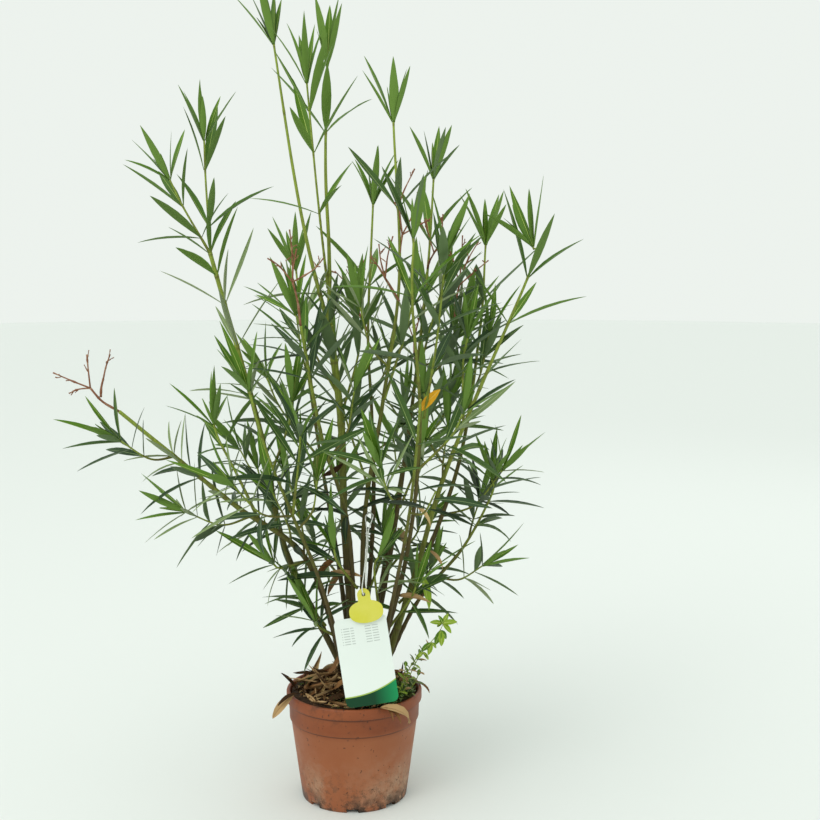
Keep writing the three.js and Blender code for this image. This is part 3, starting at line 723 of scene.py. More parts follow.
# Leafy shoots with no limb of their own in the CAD model: where they leave their parent, a
# point on the way, the point that their last leaf reaches, the gap between whorls and the region.
SHOOTS = [
    ((-199, 70, 750), (-240, 86, 818), (-292, 98, 925), 88, "tall_left"),
    ((-199, 70, 750), (-203, 64, 850), (-205, 60, 985), 108, "tall_left"),
    ((-33, 13, 705), (-44, -16, 830), (-62, -34, 1050), 80, "top"),
    ((96, -83, 540), (112, -92, 640), (130, -118, 826), 62, "middle"),
    ((-112, 32, 455), (-88, 20, 520), (-72, 8, 620), 52, "tall_left"),
    ((44, -34, 560), (70, -20, 640), (100, -10, 760), 62, "middle"),
    ((150, -18, 520), (150, 10, 600), (168, 22, 716), 60, "right"),
    ((-20, 9, 560), (-62, -4, 640), (-104, -22, 740), 66, "centre"),
    ((-16, 9, 530), (8, 34, 620), (-2, 60, 740), 60, "centre"),
    ((84, 88, 560), (110, 70, 660), (150, 60, 790), 60, "right"),
    ((-95, 22, 342), (-128, 54, 420), (-160, 84, 520), 54, "rear"),
    ((66, 146, 430), (120, 160, 500), (170, 184, 600), 52, "rear"),
    ((20, 60, 420), (-16, 110, 520), (-50, 150, 680), 54, "rear"),
    ((-52, 128, 450), (-110, 150, 520), (-168, 170, 640), 52, "rear"),
    ((64, 30, 400), (96, 96, 470), (118, 150, 590), 54, "rear"),
    ((88, -70, 470), (130, -110, 520), (176, -150, 620), 58, "front"),
    ((-72, -118, 420), (-60, -150, 500), (-50, -200, 600), 54, "front"),
    ((-61, -31, 339), (-96, -36, 330), (-128, -44, 352), 30, "low_left"),
    ((-28, -17, 232), (-46, -28, 246), (-60, -34, 276), 20, "low_left"),
    ((-40, 12, 236), (-62, 0, 270), (-84, -14, 322), 26, "low_left"),
    ((48, -2, 236), (78, -34, 286), (104, -52, 352), 30, "middle"),
    ((62, 34, 262), (96, 52, 290), (132, 60, 344), 30, "right"),
    ((6, -26, 300), (-18, -60, 344), (-34, -76, 410), 30, "centre"),
    ((20, 30, 280), (40, 66, 330), (36, 90, 410), 32, "rear"),
    ((46, 70, 300), (82, 110, 336), (120, 128, 404), 32, "rear"),
    ((-20, 60, 290), (-58, 96, 330), (-88, 112, 400), 32, "rear"),
    ((36, -14, 262), (30, -44, 330), (52, -70, 400), 30, "middle"),
]

# How many side twigs grow on each stem of a region, and between which shares of its length.
TWIG_COUNTS = {"rear": 2, "right": 2, "front": 2, "low_left": 4}
TWIG_SPAN = (0.38, 0.72)
LOW_TWIG_SPAN = (0.35, 0.95)

LEAF_LENGTH = 0.116
LEAF_SLENDER = 0.134          # width over length, for young leaves
END_LEAF = 0.080
GROWN_OLD = 0.30              # how far from the tip, in metres, leaves are fully grown and dark


def kind_for(age, rng):
    """A leaf's colour: fresh by the tip, dark low down, with some chance either way, and a share of pale
    leaves, which are painted sheen.
    """
    if age > 0.3 and rng.random() < 0.16:
        return "pale"
    pick = age + rng.normal(0, 0.25)
    for limit, kind in ((0.22, "bright"), (0.52, "fresh"), (0.86, "mid"), (1.15, "dark")):
        if pick < limit:
            return kind
    return "deep" if rng.random() < 0.85 else "olive"


def add_whorl(bed, foot, heading, spin, spread, length, rng, kind, count=3, droop=0.4, slender=LEAF_SLENDER):
    """Leaves round one joint of a stem: each leaves at `spread` degrees from the stem's heading."""
    side, out = cross_axes(heading)
    for j in range(count):
        around = spin + TURN * j / count + rng.normal(0, 0.22)
        angle = math.radians(np.clip(spread + rng.normal(0, 8), 4, 120))
        away = side * math.cos(around) + out * math.sin(around)
        aim = heading * math.cos(angle) + away * math.sin(angle)
        face = heading * math.sin(angle) - away * math.cos(angle)
        level = 1 - abs(aim[2])
        size = length * rng.uniform(0.80, 1.16)
        bow = min(droop * level + rng.normal(0.06, 0.10), 0.8)
        # Pale leaves, the painted sheen, are also made narrower.
        slim = 0.62 if kind == "pale" else 1.0
        bed.add(foot + away * 0.0015, aim, face, size, size * slender * slim * rng.uniform(0.85, 1.12),
                bow=bow, fold=rng.uniform(0.15, 0.55), twist=rng.normal(0, 0.4), kind=kind)


def clothe(bed, path, span, gap, rng, tone_shift=0.0, length=LEAF_LENGTH, thin=0.0, tuft=True):
    """Whorls along a shoot from the share span[1] down to span[0], each turned from the last.

    The gaps open out with the distance from the tip; so do the leaves' spread, age and droop.
    """
    start, end = span
    total = (end - start) * path.length
    ripe = min(max(0.90 - path.at(end)[2], 0.0), 0.42)
    spin = rng.uniform(0, TURN)
    down = 0.0
    while down <= total:
        share = end - down / path.length
        age = min(down / GROWN_OLD + ripe, 1.0)
        spin += TURN / 6 + rng.normal(0, 0.12)
        foot = path.at(share)
        spread = 16 + 54 * age ** 0.66 + 18 * max(0.0, 0.55 - foot[2]) / 0.25
        size = length * (0.72 + 0.28 * min(down / 0.05, 1)) * (1 - 0.10 * age)
        size *= 1 - 0.9 * max(0.0, 0.50 - foot[2])
        if rng.random() > thin * age:
            kind = kind_for(0.72 * age + tone_shift + max(0.0, 0.66 - foot[2]) * 0.45, rng)
            add_whorl(bed, foot, path.heading(share), spin, spread, size, rng, kind,
                      count=3 if rng.random() > 0.3 * age else 2, droop=0.08 + 0.5 * age,
                      slender=LEAF_SLENDER * (1 - 0.18 * age + 0.9 * max(0.0, 0.50 - foot[2])))
        path.nodes.append(share)
        crowd = np.interp(foot[2], (0.44, 0.56, 0.70, 0.80), (0.80, 0.86, 0.90, 1.0))
        down += gap * MM * crowd * (0.42 + 0.58 * min(down / 0.10, 1)) * rng.uniform(0.88, 1.12)
    if tuft:
        tip = path.at(end)
        heading = path.heading(end)
        add_whorl(bed, tip, heading, spin + 1, 9, length * 0.42, rng, "bright", count=2, droop=0.05)
        add_whorl(bed, tip, heading, spin + 2, 20, END_LEAF, rng, "bright", droop=0.10)


def grow_plant(materials):
    """Stems, shoots, side twigs and leaves, and the joined pieces that they make."""
    beds = {}
    for region in ("low_left", "tall_left", "top", "centre", "middle", "right", "rear", "front"):
        beds[region] = LeafBed()
    limbs, twigs = [], []
    for number, (name, row) in enumerate(LIMBS.items()):
        knots, foot_radius, tip_radius, target, age, span, gap, region = row
        rng = np.random.default_rng(100 + number)
        path_knots = list(knots)
        if target is not None:
            end, goal = np.array(knots[-1], float), np.array(target, float)
            gap = np.linalg.norm(goal - end)
            share = max(0.25, (gap - END_LEAF / MM) / gap)
            path_knots.append(tuple(end + (goal - end) * share))
        limb = Limb(path_knots, foot_radius, tip_radius if target is None else 1.3)
        limbs.append((name, limb, age))
        small = 0.80 if region == "low_left" else 1.0
        clothe(beds[region], limb, span, gap, rng, tone_shift=0.0 if target is not None else 0.3,
               length=LEAF_LENGTH * small, thin=0.25, tuft=target is not None)
        if name.startswith("stem_top") or name.startswith("shoot"):
            continue
        for _ in range(TWIG_COUNTS.get(region, 1)):
            share = rng.uniform(*(LOW_TWIG_SPAN if region == "low_left" else TWIG_SPAN))
            foot = limb.at(share)
            heading = limb.heading(share)
            side, out = cross_axes(heading)
            around = rng.uniform(0, TURN)
            away = side * math.cos(around) + out * math.sin(around)
            reach = rng.uniform(0.05, 0.10)
            bend = foot + (heading * 0.6 + away * 0.8) * reach * 0.5
            end = bend + (heading * 0.8 + away * 0.45 + np.array([0, 0, 0.25])) * reach * 0.6
            twig = Limb(np.array([foot, bend, end]) / MM, 1.5, 0.9)
            twigs.append((twig, 0.45))
            clothe(beds[region], twig, (0.35, 1.0), 46, rng, tone_shift=0.42, length=0.100, thin=0.2)
    for number, (foot, knee, goal, gap_size, region) in enumerate(SHOOTS):
        rng = np.random.default_rng(300 + number)
        goal = np.array(goal, float)
        knee_point = np.array(knee, float)
        gap = np.linalg.norm(goal - knee_point)
        end = knee_point + (goal - knee_point) * max(0.3, (gap - END_LEAF / MM) / gap)
        shoot = Limb([foot, knee, tuple(end)], 1.9, 1.1)
        twigs.append((shoot, 0.28))
        high = foot[2] > 640
        clothe(beds[region], shoot, (0.12 if high else 0.3, 1.0), gap_size, rng,
               tone_shift=0.0 if high else 0.3, length=0.106)
    build_stems(limbs, twigs, materials)
    return beds


def stem_surface(limb, age, sides, step):
    """A tube whose radius tapers with length, swells at each joint and ripples along the skin.

    radius = taper x (1 + 0.16 x bell at each joint + 0.04 x ripple); the scar mark is the bell's
    lower half, and the age mark falls from the foot's age to zero at the tip.
    """
    rows = max(8, int(limb.length / step))
    shares = np.linspace(0, 1, rows)
    foot_radius, tip_radius = limb.radii
    taper = 0.88 * foot_radius + (1.12 * tip_radius - 0.88 * foot_radius) * shares ** 0.9
    joints = np.array(sorted(limb.nodes)) if limb.nodes else np.array([-1.0])
    extra = np.arange(0.12, joints.min() if joints.min() > 0.12 else 0.2, 0.055)
    joints = np.concatenate([joints, extra])
    gaps = (shares[:, None] - joints[None]) * limb.length
    bell = np.exp(-(gaps / 0.0035) ** 2).max(1)
    scar = np.exp(-((gaps + 0.0025) / 0.0018) ** 2).max(1)
    flare = 0.35 * np.exp(-shares * limb.length / 0.018)
    angle = np.arange(sides) / sides * TURN
    wobble = ripple(np.stack(np.broadcast_arrays(np.cos(angle)[None] * 2, np.sin(angle)[None] * 2,
                                                 (shares * limb.length * 60)[:, None]), -1), 1.0, rows)
    radii = taper[:, None] * (1 + 0.16 * bell[:, None] + flare[:, None] + 0.045 * wobble)
    points, quads, tris = tube(limb, shares, radii, sides)
    aged = age * (1 - shares) ** 0.75
    marks = {"age": np.concatenate([np.repeat(aged, sides), aged[:1], aged[-1:]]),
             "scar": np.concatenate([np.repeat(scar, sides), scar[:1], scar[-1:]])}
    return points, quads, tris, marks


def build_stems(limbs, twigs, materials):
    """The stems in two joined pieces, old wood and young shoots, and the side twigs in a third."""
    groups = {"old_stems": Heap(), "young_stems": Heap(), "side_twigs": Heap()}
    nodes = {"old_stems": [], "young_stems": []}
    for name, limb, age in limbs:
        group = "young_stems" if name.startswith("stem_top") or name.startswith("shoot") else "old_stems"
        points, quads, tris, marks = stem_surface(limb, age, 14, 0.0032)
        groups[group].put(points, quads, tris, **marks)
        nodes[group].append(name)
    for twig, age in twigs:
        points, quads, tris, marks = stem_surface(twig, age, 8, 0.005)
        groups["side_twigs"].put(points, quads, tris, **marks)
    for group, heap in groups.items():
        piece = heap.build(group, [materials["bark"]])
        finish(piece, "bark" if group == "old_stems" else "green_stem", *nodes.get(group, []))


# ---------------------------------------------------------------- dry flower stalks

# Each dry truss, in mm: its foot, the fork where it divides, and the tips of its stalks.
TRUSSES = [
    ((-302, -64, 547), (-338, -67, 578), [(-366, -67, 571), (-386, -66, 598), (-341, -68, 622)]),
    ((-325, -66, 566), (-321, -66, 590), [(-311, -67, 622)]),
    ((-62, -84, 660), (-71, -90, 716), [(-74, -92, 782), (-102, -96, 746), (-32, -86, 746), (-66, -86, 758)]),
    ((64, -47, 716), (68, -50, 776), [(84, -52, 860), (104, -56, 796), (58, -48, 818), (92, -46, 842)]),
    ((64, -47, 690), (46, -60, 720), [(38, -66, 764), (56, -66, 774), (26, -58, 748)]),
    ((103, 124, 730), (112, 96, 752), [(124, 90, 806), (146, 88, 790), (100, 92, 800)]),
    ((140, 56, 660), (146, 50, 708), [(150, 48, 776), (172, 46, 768), (130, 50, 762), (186, 50, 742)]),
    ((18, 110, 640), (-2, 124, 690), [(-14, 130, 748), (12, 134, 742), (-30, 126, 726)]),
    ((88, 206, 570), (84, 226, 620), [(70, 236, 676), (98, 240, 672), (84, 250, 650)]),
]


def add_twig(heap, start, end, radius, tip_radius, rng):
    """One thin stalk with a slight bow, two or three joints along it and a small knob at its end."""
    gap = np.linalg.norm(end - start)
    middle = (start + end) / 2 + rng.normal(0, 0.05, 3) * gap
    limb = Limb(np.array([start, middle, end]) / MM)
    shares = np.linspace(0, 1, 13)
    radii = radius + (tip_radius - radius) * shares
    for joint in rng.uniform(0.25, 0.85, 2):
        radii = radii + 0.0004 * np.exp(-((shares - joint) / 0.05) ** 2)
    radii = radii + 0.0006 * np.exp(-((shares - 0.97) / 0.04) ** 2)
    points, quads, tris = tube(limb, shares, radii, 6)
    heap.put(points, quads, tris)
    return limb


def build_trusses(materials):
    """Each truss is a stalk up to its fork and thinner stalks to its tips, with short side spurs."""
    heap = Heap()
    rng = np.random.default_rng(40)
    for foot, fork, tips in TRUSSES:
        joint = np.array(fork) * MM
        add_twig(heap, np.array(foot) * MM, joint, 0.0017, 0.0013, rng)
        for tip in tips:
            stalk = add_twig(heap, joint, np.array(tip) * MM, 0.0012, 0.0008, rng)
            for share in rng.uniform(0.45, 0.95, 3):
                base = stalk.at(share)
                bud = unit(stalk.heading(share) + rng.normal(0, 0.55, 3))
                add_twig(heap, base, base + bud * rng.uniform(0.005, 0.013), 0.0007, 0.0005, rng)
    piece = heap.build("dry_flower_stalks", [materials["dry"]])
    finish(piece, "dry_twig", "dry_truss")


# ---------------------------------------------------------------- pot

RIM_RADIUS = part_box("pot")[1][0]
FOOT_RADIUS = 0.073
NOTCHES = 8
NOTCH_WIDTH = 0.016
NOTCH_HEIGHT = 0.005


def build_pot(materials):
    """A profile of radius and height carried round the axis; the foot ring lifts over each notch."""
    h, r, f = POT_HEIGHT, RIM_RADIUS, FOOT_RADIUS
    band = BAND_FOOT
    lip = LIP_FOOT
    wall = r - 0.006
    low_wall = f + (wall - f) * 0.045
    profile = [
        (0.0, 0.0052), (f - 0.030, 0.0052), (f - 0.0068, 0.0052), (f - 0.0056, 0.0046), (f - 0.0050, 0.0006),
        (f - 0.0042, 0.0), (f - 0.0012, 0.0), (f - 0.0002, 0.0008), (low_wall, 0.0062),
        (f + (wall - f) * 0.3, band * 0.3), (f + (wall - f) * 0.62, band * 0.62),
        (wall - 0.0002, band - 0.0012), (wall + 0.0002, band - 0.0002), (wall + 0.0014, band + 0.0002),
        (wall + 0.0018, band + 0.0012), (r - 0.0034, lip - 0.0012), (r - 0.0030, lip - 0.0002),
        (r - 0.0012, lip), (r - 0.0003, lip + 0.0006), (r, lip + 0.0018), (r, h - 0.0026),
        (r - 0.0005, h - 0.0010), (r - 0.0016, h - 0.0002), (r - 0.0034, h), (r - 0.0046, h - 0.0006),
        (r - 0.0052, h - 0.0022), (wall - 0.0030, band + 0.004), (f + 0.006, 0.055), (f - 0.0026, 0.0086),
        (f - 0.012, 0.0078), (0.0, 0.0078),
    ]
    radius, height = np.array(profile).T
    half = NOTCH_WIDTH / 2 / f
    marks = [np.linspace(-half, half, 7), np.array([-half - 0.004, half + 0.004]),
             np.linspace(half + 0.02, TURN / NOTCHES - half - 0.02, 22)]
    part = np.sort(np.concatenate(marks))
    angle = (part[None] + (np.arange(NOTCHES) * TURN / NOTCHES - TURN / 4)[:, None]).ravel()
    gap = (angle + TURN / 4 + TURN / NOTCHES / 2) % (TURN / NOTCHES) - TURN / NOTCHES / 2
    open_here = (np.abs(gap) <= half + 1e-6)[:, None]
    z = np.where(open_here & (height < NOTCH_HEIGHT)[None], NOTCH_HEIGHT, height[None])
    wave = 0.0003 * np.sin(angle * 3 + 1)[:, None] * (height / h)[None]
    rad = radius[None] + wave * (radius > 0.01)[None]
    rows, columns = len(angle), len(profile)
    points = np.stack([rad * np.cos(angle)[:, None], rad * np.sin(angle)[:, None], z], -1)
    ring = points[:, 1:-1].reshape(-1, 3)
    inner = columns - 2
    quads = grid_quads(rows, inner, close_rows=True)
    below, above = len(ring), len(ring) + 1
    i = np.arange(rows)
    j = (i + 1) % rows
    tris = np.concatenate([np.stack([i * inner, j * inner, np.full(rows, below)], -1)[:, ::-1],
                           np.stack([i * inner + inner - 1, j * inner + inner - 1,
                                     np.full(rows, above)], -1)])
    points = np.vstack([ring, points[0, 0], points[0, -1]])
    piece = new_piece("pot_shell", points, quads[:, ::-1], tris, [materials["pot"]])
    finish(piece, "pot_plastic", "pot")
    return piece


# ---------------------------------------------------------------- compost, litter, moss and weeds

HEAP_RADIUS = 0.0865


def heap_height(x, y):
    """The top of the compost: level near the rim, one mound left of the middle and one low one right."""
    left = 0.016 * np.exp(-((x + 0.030) / 0.042) ** 2 - ((y + 0.004) / 0.055) ** 2)
    right = 0.008 * np.exp(-((x - 0.045) / 0.035) ** 2 - ((y + 0.010) / 0.050) ** 2)
    points = np.stack(np.broadcast_arrays(x, y, x * 0), -1)
    return 0.1455 + left + right + 0.0018 * ripple(points, 160.0, 7) + 0.0008 * ripple(points, 420.0, 8)


def build_compost(materials):
    """A disc of rings whose height is the heap's, with a skirt down inside the pot and a flat foot."""
    rings, sides = 60, 140
    reach = np.linspace(0.02, 1, rings) ** 0.9 * HEAP_RADIUS
    angle = np.arange(sides) / sides * TURN
    x = reach[:, None] * np.cos(angle)[None]
    y = reach[:, None] * np.sin(angle)[None]
    top = np.stack([x, y, heap_height(x, y)], -1)
    skirt = top[-1:] * np.array([0.985, 0.985, 0]) + np.array([0, 0, 0.118])
    foot = skirt * np.array([0.92, 0.92, 1.0]) + np.array([0, 0, -0.006])
    points = np.concatenate([top, skirt, foot]).reshape(-1, 3)
    rows = rings + 2
    quads = grid_quads(rows, sides, close_columns=True)[:, ::-1]
    centre_top, centre_foot = len(points), len(points) + 1
    i = np.arange(sides)
    j = (i + 1) % sides
    last = (rows - 1) * sides
    tris = np.concatenate([np.stack([i, j, np.full(sides, centre_top)], -1),
                           np.stack([last + j, last + i, np.full(sides, centre_foot)], -1)])
    zero = np.zeros(1)
    points = np.vstack([points, [0, 0, heap_height(zero, zero)[0]], [0, 0, 0.112]])
    piece = new_piece("compost_top", points, quads, tris, [materials["soil"]])
    finish(piece, "compost", "compost")


# Dead leaves that lie over the rim or hang on a stem: foot, heading, face, length, width, bow, kind.
STRAY_DEAD = [
    ((-79, -46, 158), (-0.66, -0.42, -0.40), (-0.30, -0.80, 0.45), 47, 14, 1.0, "tan"),
    ((-80, -10, 152), (-0.4, -0.3, 0.9), (0.8, -0.3, 0.4), 34, 7, 0.5, "dusk"),
    ((-74, -46, 158), (-0.8, -0.5, 0.1), (-0.1, -0.2, 1.0), 34, 8, 1.0, "dusk"),
    ((39, -88, 154), (0.94, -0.34, 0.20), (0.45, -0.62, 0.64), 62, 16, 2.25, "tan"),
    ((44, -84, 154), (0.70, -0.60, 0.05), (0.40, -0.60, 0.70), 36, 9, 1.6, "brown"),
    ((44, -80, 155), (0.4, -0.8, 0.1), (0.0, -0.2, 1.0), 30, 7, 1.4, "brown"),
    ((84, 10, 156), (0.9, 0.2, -0.2), (0.2, 0.1, 1.0), 30, 9, 1.0, "brown"),
    ((-30, 70, 158), (-0.3, 0.9, -0.1), (0.0, 0.2, 1.0), 44, 10, 1.0, "brown"),
    ((-14, 8, 334), (-0.8, -0.6, 0.1), (0.1, -0.3, 0.9), 56, 11, 1.6, "brown"),
    ((-30, -22, 322), (0.9, -0.5, 0.1), (0.2, -0.9, 0.4), 48, 9, 1.3, "tan"),
    ((-14, 2, 466), (-0.5, -0.6, -0.3), (0.2, -0.9, 0.1), 36, 10, 1.7, "dusk"),
    ((84, -52, 420), (0.6, -0.6, -0.2), (0.1, -0.6, 0.8), 40, 9, 1.5, "straw"),
    ((104, 10, 344), (0.6, -0.6, -0.2), (0.1, -0.6, 0.8), 36, 8, 1.5, "tan"),
    ((60, -30, 290), (0.9, -0.5, 0.2), (0.2, -0.7, 0.7), 50, 12, 0.9, "tan"),
    ((117, -84, 578), (-0.72, -0.15, -0.62), (-0.3, -0.9, 0.3), 42, 14, 0.5, "yellow"),
    ((95, -22, 316), (0.25, -0.1, -1.0), (0.4, -0.9, 0.2), 50, 15, 0.3, "lime"),
    ((-20, 60, 300), (-0.4, 0.6, -0.5), (0.1, 0.8, 0.5), 44, 12, 1.4, "brown"),
    ((60, 80, 360), (0.4, 0.6, -0.5), (0.1, 0.8, 0.5), 40, 12, 1.2, "tan"),
]


def build_litter(leaf_skins):
    """Curled dead leaves heaped on the compost, thickest on the left mound, and a few strays."""
    bed = LeafBed()
    rng = np.random.default_rng(60)
    for layer in range(460):
        spot = rng.normal((-0.026, -0.006), (0.036, 0.042)) if layer < 330 else rng.uniform(-0.085, 0.085, 2)
        reach = math.hypot(*spot)
        if reach > 0.080:
            spot = spot * 0.080 / reach * rng.uniform(0.75, 1.0)
        around = rng.uniform(0, TURN)
        lift = rng.normal(0.05, 0.16)
        aim = np.array([math.cos(around), math.sin(around), lift])
        face = np.array([rng.normal(0, 0.45), rng.normal(0, 0.45), 1.0])
        length = rng.uniform(0.030, 0.078)
        end = spot + aim[:2] * length * 0.8
        if math.hypot(*end) > 0.088:
            aim[:2] = -aim[:2]
        floor = heap_height(np.array([spot[0]]), np.array([spot[1]]))[0]
        lift = 0.011 * rng.random() * math.exp(-(reach / 0.06) ** 2)
        foot = np.array([spot[0], spot[1], floor + 0.001 + lift])
        kind = rng.choice(["brown", "dusk", "brown", "tan", "dusk", "tan", "tan", "straw"])
        bed.add(foot, aim, face, length, length * rng.uniform(0.10, 0.27), bow=rng.normal(0.9, 1.1),
                fold=rng.uniform(0.2, 1.1), twist=rng.normal(0, 1.2), kind=kind)
    bed.keep_off_wall()
    for foot, aim, face, length, width, bow, kind in STRAY_DEAD:
        bed.add(np.array(foot) * MM, np.array(aim), np.array(face), length * MM, width * MM, bow=bow,
                fold=0.5, twist=0.5, kind=kind)
    bed.build("dead_leaves", leaf_skins, "leaf_litter", clear=False)


# The weed's leaves in mm: foot, and where the leaf's tip lies from it.
WEED_LEAVES = [
    ((122, -50, 258), (19, -4, 5)), ((122, -50, 258), (-17, -3, 4)), ((122, -50, 258), (13, -6, -11)),
    ((122, -50, 258), (-4, -6, 12)), ((122, -50, 258), (8, 4, 13)), ((122, -50, 258), (-10, 6, -6)),
    ((119, -50, 248), (3, -6, -21)), ((119, -50, 248), (-7, -5, -20)), ((119, -50, 248), (12, 6, -14)),
    ((107, -50, 231), (-15, -5, -10)), ((107, -50, 231), (-4, -6, -16)), ((107, -50, 231), (9, 4, -9)),
    ((96, -50, 218), (-11, -5, -8)), ((96, -50, 218), (8, -4, -9)),
]


def build_weeds(leaf_skins, materials):
    """A small soft weed at the right of the pot, with a few seedlings round it."""
    bed = LeafBed()
    heap = Heap()
    rng = np.random.default_rng(70)
    stalks = [
        [(62, -44, 150), (78, -48, 196), (104, -50, 229), (118, -50, 247), (123, -50, 259)],
        [(66, -44, 150), (78, -46, 184), (88, -46, 206)],
        [(60, -46, 150), (68, -54, 178), (72, -58, 200)],
        [(72, -30, 150), (86, -32, 172), (92, -36, 190)],
    ]
    for foot, reach in WEED_LEAVES:
        reach = np.array(reach, float) * MM
        size = np.linalg.norm(reach)
        bed.add(np.array(foot) * MM, reach, (0.2, -0.7, 0.6), size, size * 0.42, bow=0.5, fold=0.25,
                kind=rng.choice(["lime", "lime", "bright"]), blunt=0.75)
    for number, knots in enumerate(stalks):
        limb = Limb(knots)
        shares = np.linspace(0, 1, 16)
        points, quads, tris = tube(limb, shares, 0.0008 - 0.0003 * shares, 6)
        heap.put(points, quads, tris, age=np.zeros(len(points)), scar=np.zeros(len(points)))
        count = int(limb.length / 0.0065)
        for i in range(count):
            share = 0.15 + (0.55 if number == 0 else 0.85) * (i + 1) / count
            heading = limb.heading(share)
            side, out = cross_axes(heading)
            around = i * 2.4 + number
            away = side * math.cos(around) + out * math.sin(around)
            size = rng.uniform(0.009, 0.015)
            bed.add(limb.at(share), away + heading * 0.5, heading - away * 0.4, size, size * 0.5,
                    bow=0.4, fold=0.15, kind=rng.choice(["bright", "lime", "olive", "tan"]), blunt=0.7)
    for _ in range(40):
        spot = rng.normal((0.058, -0.034), (0.016, 0.026))
        floor = heap_height(spot[:1], spot[1:])[0]
        for _ in range(4):
            around = rng.uniform(0, TURN)
            size = rng.uniform(0.005, 0.010)
            bed.add((spot[0], spot[1], floor + 0.003 + 0.012 * rng.random() ** 2),
                    (math.cos(around), math.sin(around), 0.7), (0, 0, 1), size, size * 0.6, bow=0.6,
                    fold=0.1, kind=rng.choice(["fresh", "olive", "mid", "bright"]), blunt=0.7)
    bed.keep_off_wall()
    bed.build("weed_leaves", leaf_skins, clear=False)
    piece = heap.build("weed_stalks", [materials["bark"]])
    finish(piece, "green_stem")


def build_moss(leaf_skins):
    """Moss as short pointed blades on low cushions, most of it on the heap's right side."""
    bed = LeafBed()
    rng = np.random.default_rng(80)
    cushions = [((0.062, -0.034), 0.014, 0.015, 760), ((0.070, 0.000), 0.012, 0.012, 420),
                ((0.042, -0.060), 0.011, 0.007, 260), ((0.050, 0.030), 0.014, 0.008, 260),
                ((-0.012, -0.052), 0.009, 0.005, 110), ((-0.058, 0.020), 0.010, 0.006, 110),
                ((0.010, 0.060), 0.014, 0.004, 120)]
    for centre, spread, rise, count in cushions:
        for _ in range(count):
            offset = rng.normal(0, spread, 2)
            spot = np.array(centre) + offset
            if math.hypot(*spot) > 0.084:
                continue
            floor = heap_height(spot[:1], spot[1:])[0]
            dome = rise * math.exp(-(offset @ offset) / (2 * spread ** 2))
            aim = np.array([offset[0] / spread * 0.5, offset[1] / spread * 0.5, 1.0]) + rng.normal(0, 0.4, 3)
            size = rng.uniform(0.004, 0.0075)
            bed.add((spot[0], spot[1], floor - 0.001 + dome), aim, (rng.normal(), rng.normal(), 0.3), size,
                    size * 0.26, bow=rng.normal(0, 0.5), fold=0.2,
                    kind=rng.choice(["olive", "mid", "fresh", "mid", "dark"]))
    bed.keep_off_wall()
    bed.build("moss", leaf_skins, clear=False)


# ---------------------------------------------------------------- label, tag and tie

CARD_CENTRE = np.array([20, -84.5, 217]) * MM
TAG_CENTRE = np.array([19, -80.2, 291]) * MM
CARD_WIDTH, CARD_HEIGHT, CARD_CORNER = 0.070, 0.118, 0.008
ROLL = math.radians(9)
LEAN = math.radians(6)
STRING_RADIUS = 0.00085
STRING_RINGS = 60
STRING_SIDES = 6


def hang(x, z, off, centre):
    """A flat sheet's points, x across and z up, rolled, leaned back and put in place."""
    rolled_x = x * math.cos(ROLL) - z * math.sin(ROLL)
    rolled_z = x * math.sin(ROLL) + z * math.cos(ROLL)
    y = off * math.cos(LEAN) + rolled_z * math.sin(LEAN)
    up = rolled_z * math.cos(LEAN) - off * math.sin(LEAN)
    return np.stack([rolled_x, y, up], -1) + centre


def card_half_width(rise):
    """Half the card's width at a height above its middle: straight sides and round corners."""
    past = np.maximum(np.abs(rise) - (CARD_HEIGHT / 2 - CARD_CORNER), 0)
    return CARD_WIDTH / 2 - CARD_CORNER + np.sqrt(np.maximum(CARD_CORNER ** 2 - past ** 2, 0))


def tag_half_width(rise):
    """Half the tag's width at a height above its middle: a round body with a round tab on top."""
    share = np.minimum(np.abs(rise + 0.008) / 0.015, 1)
    body = 0.0225 * np.sqrt(1 - share ** 2.6)
    past = np.maximum(rise - 0.0145, 0)
    tab = np.where(rise > -0.008, np.sqrt(np.maximum(0.0085 ** 2 - past ** 2, 0)), 0)
    return np.maximum(np.maximum(body, tab), 0.0004)


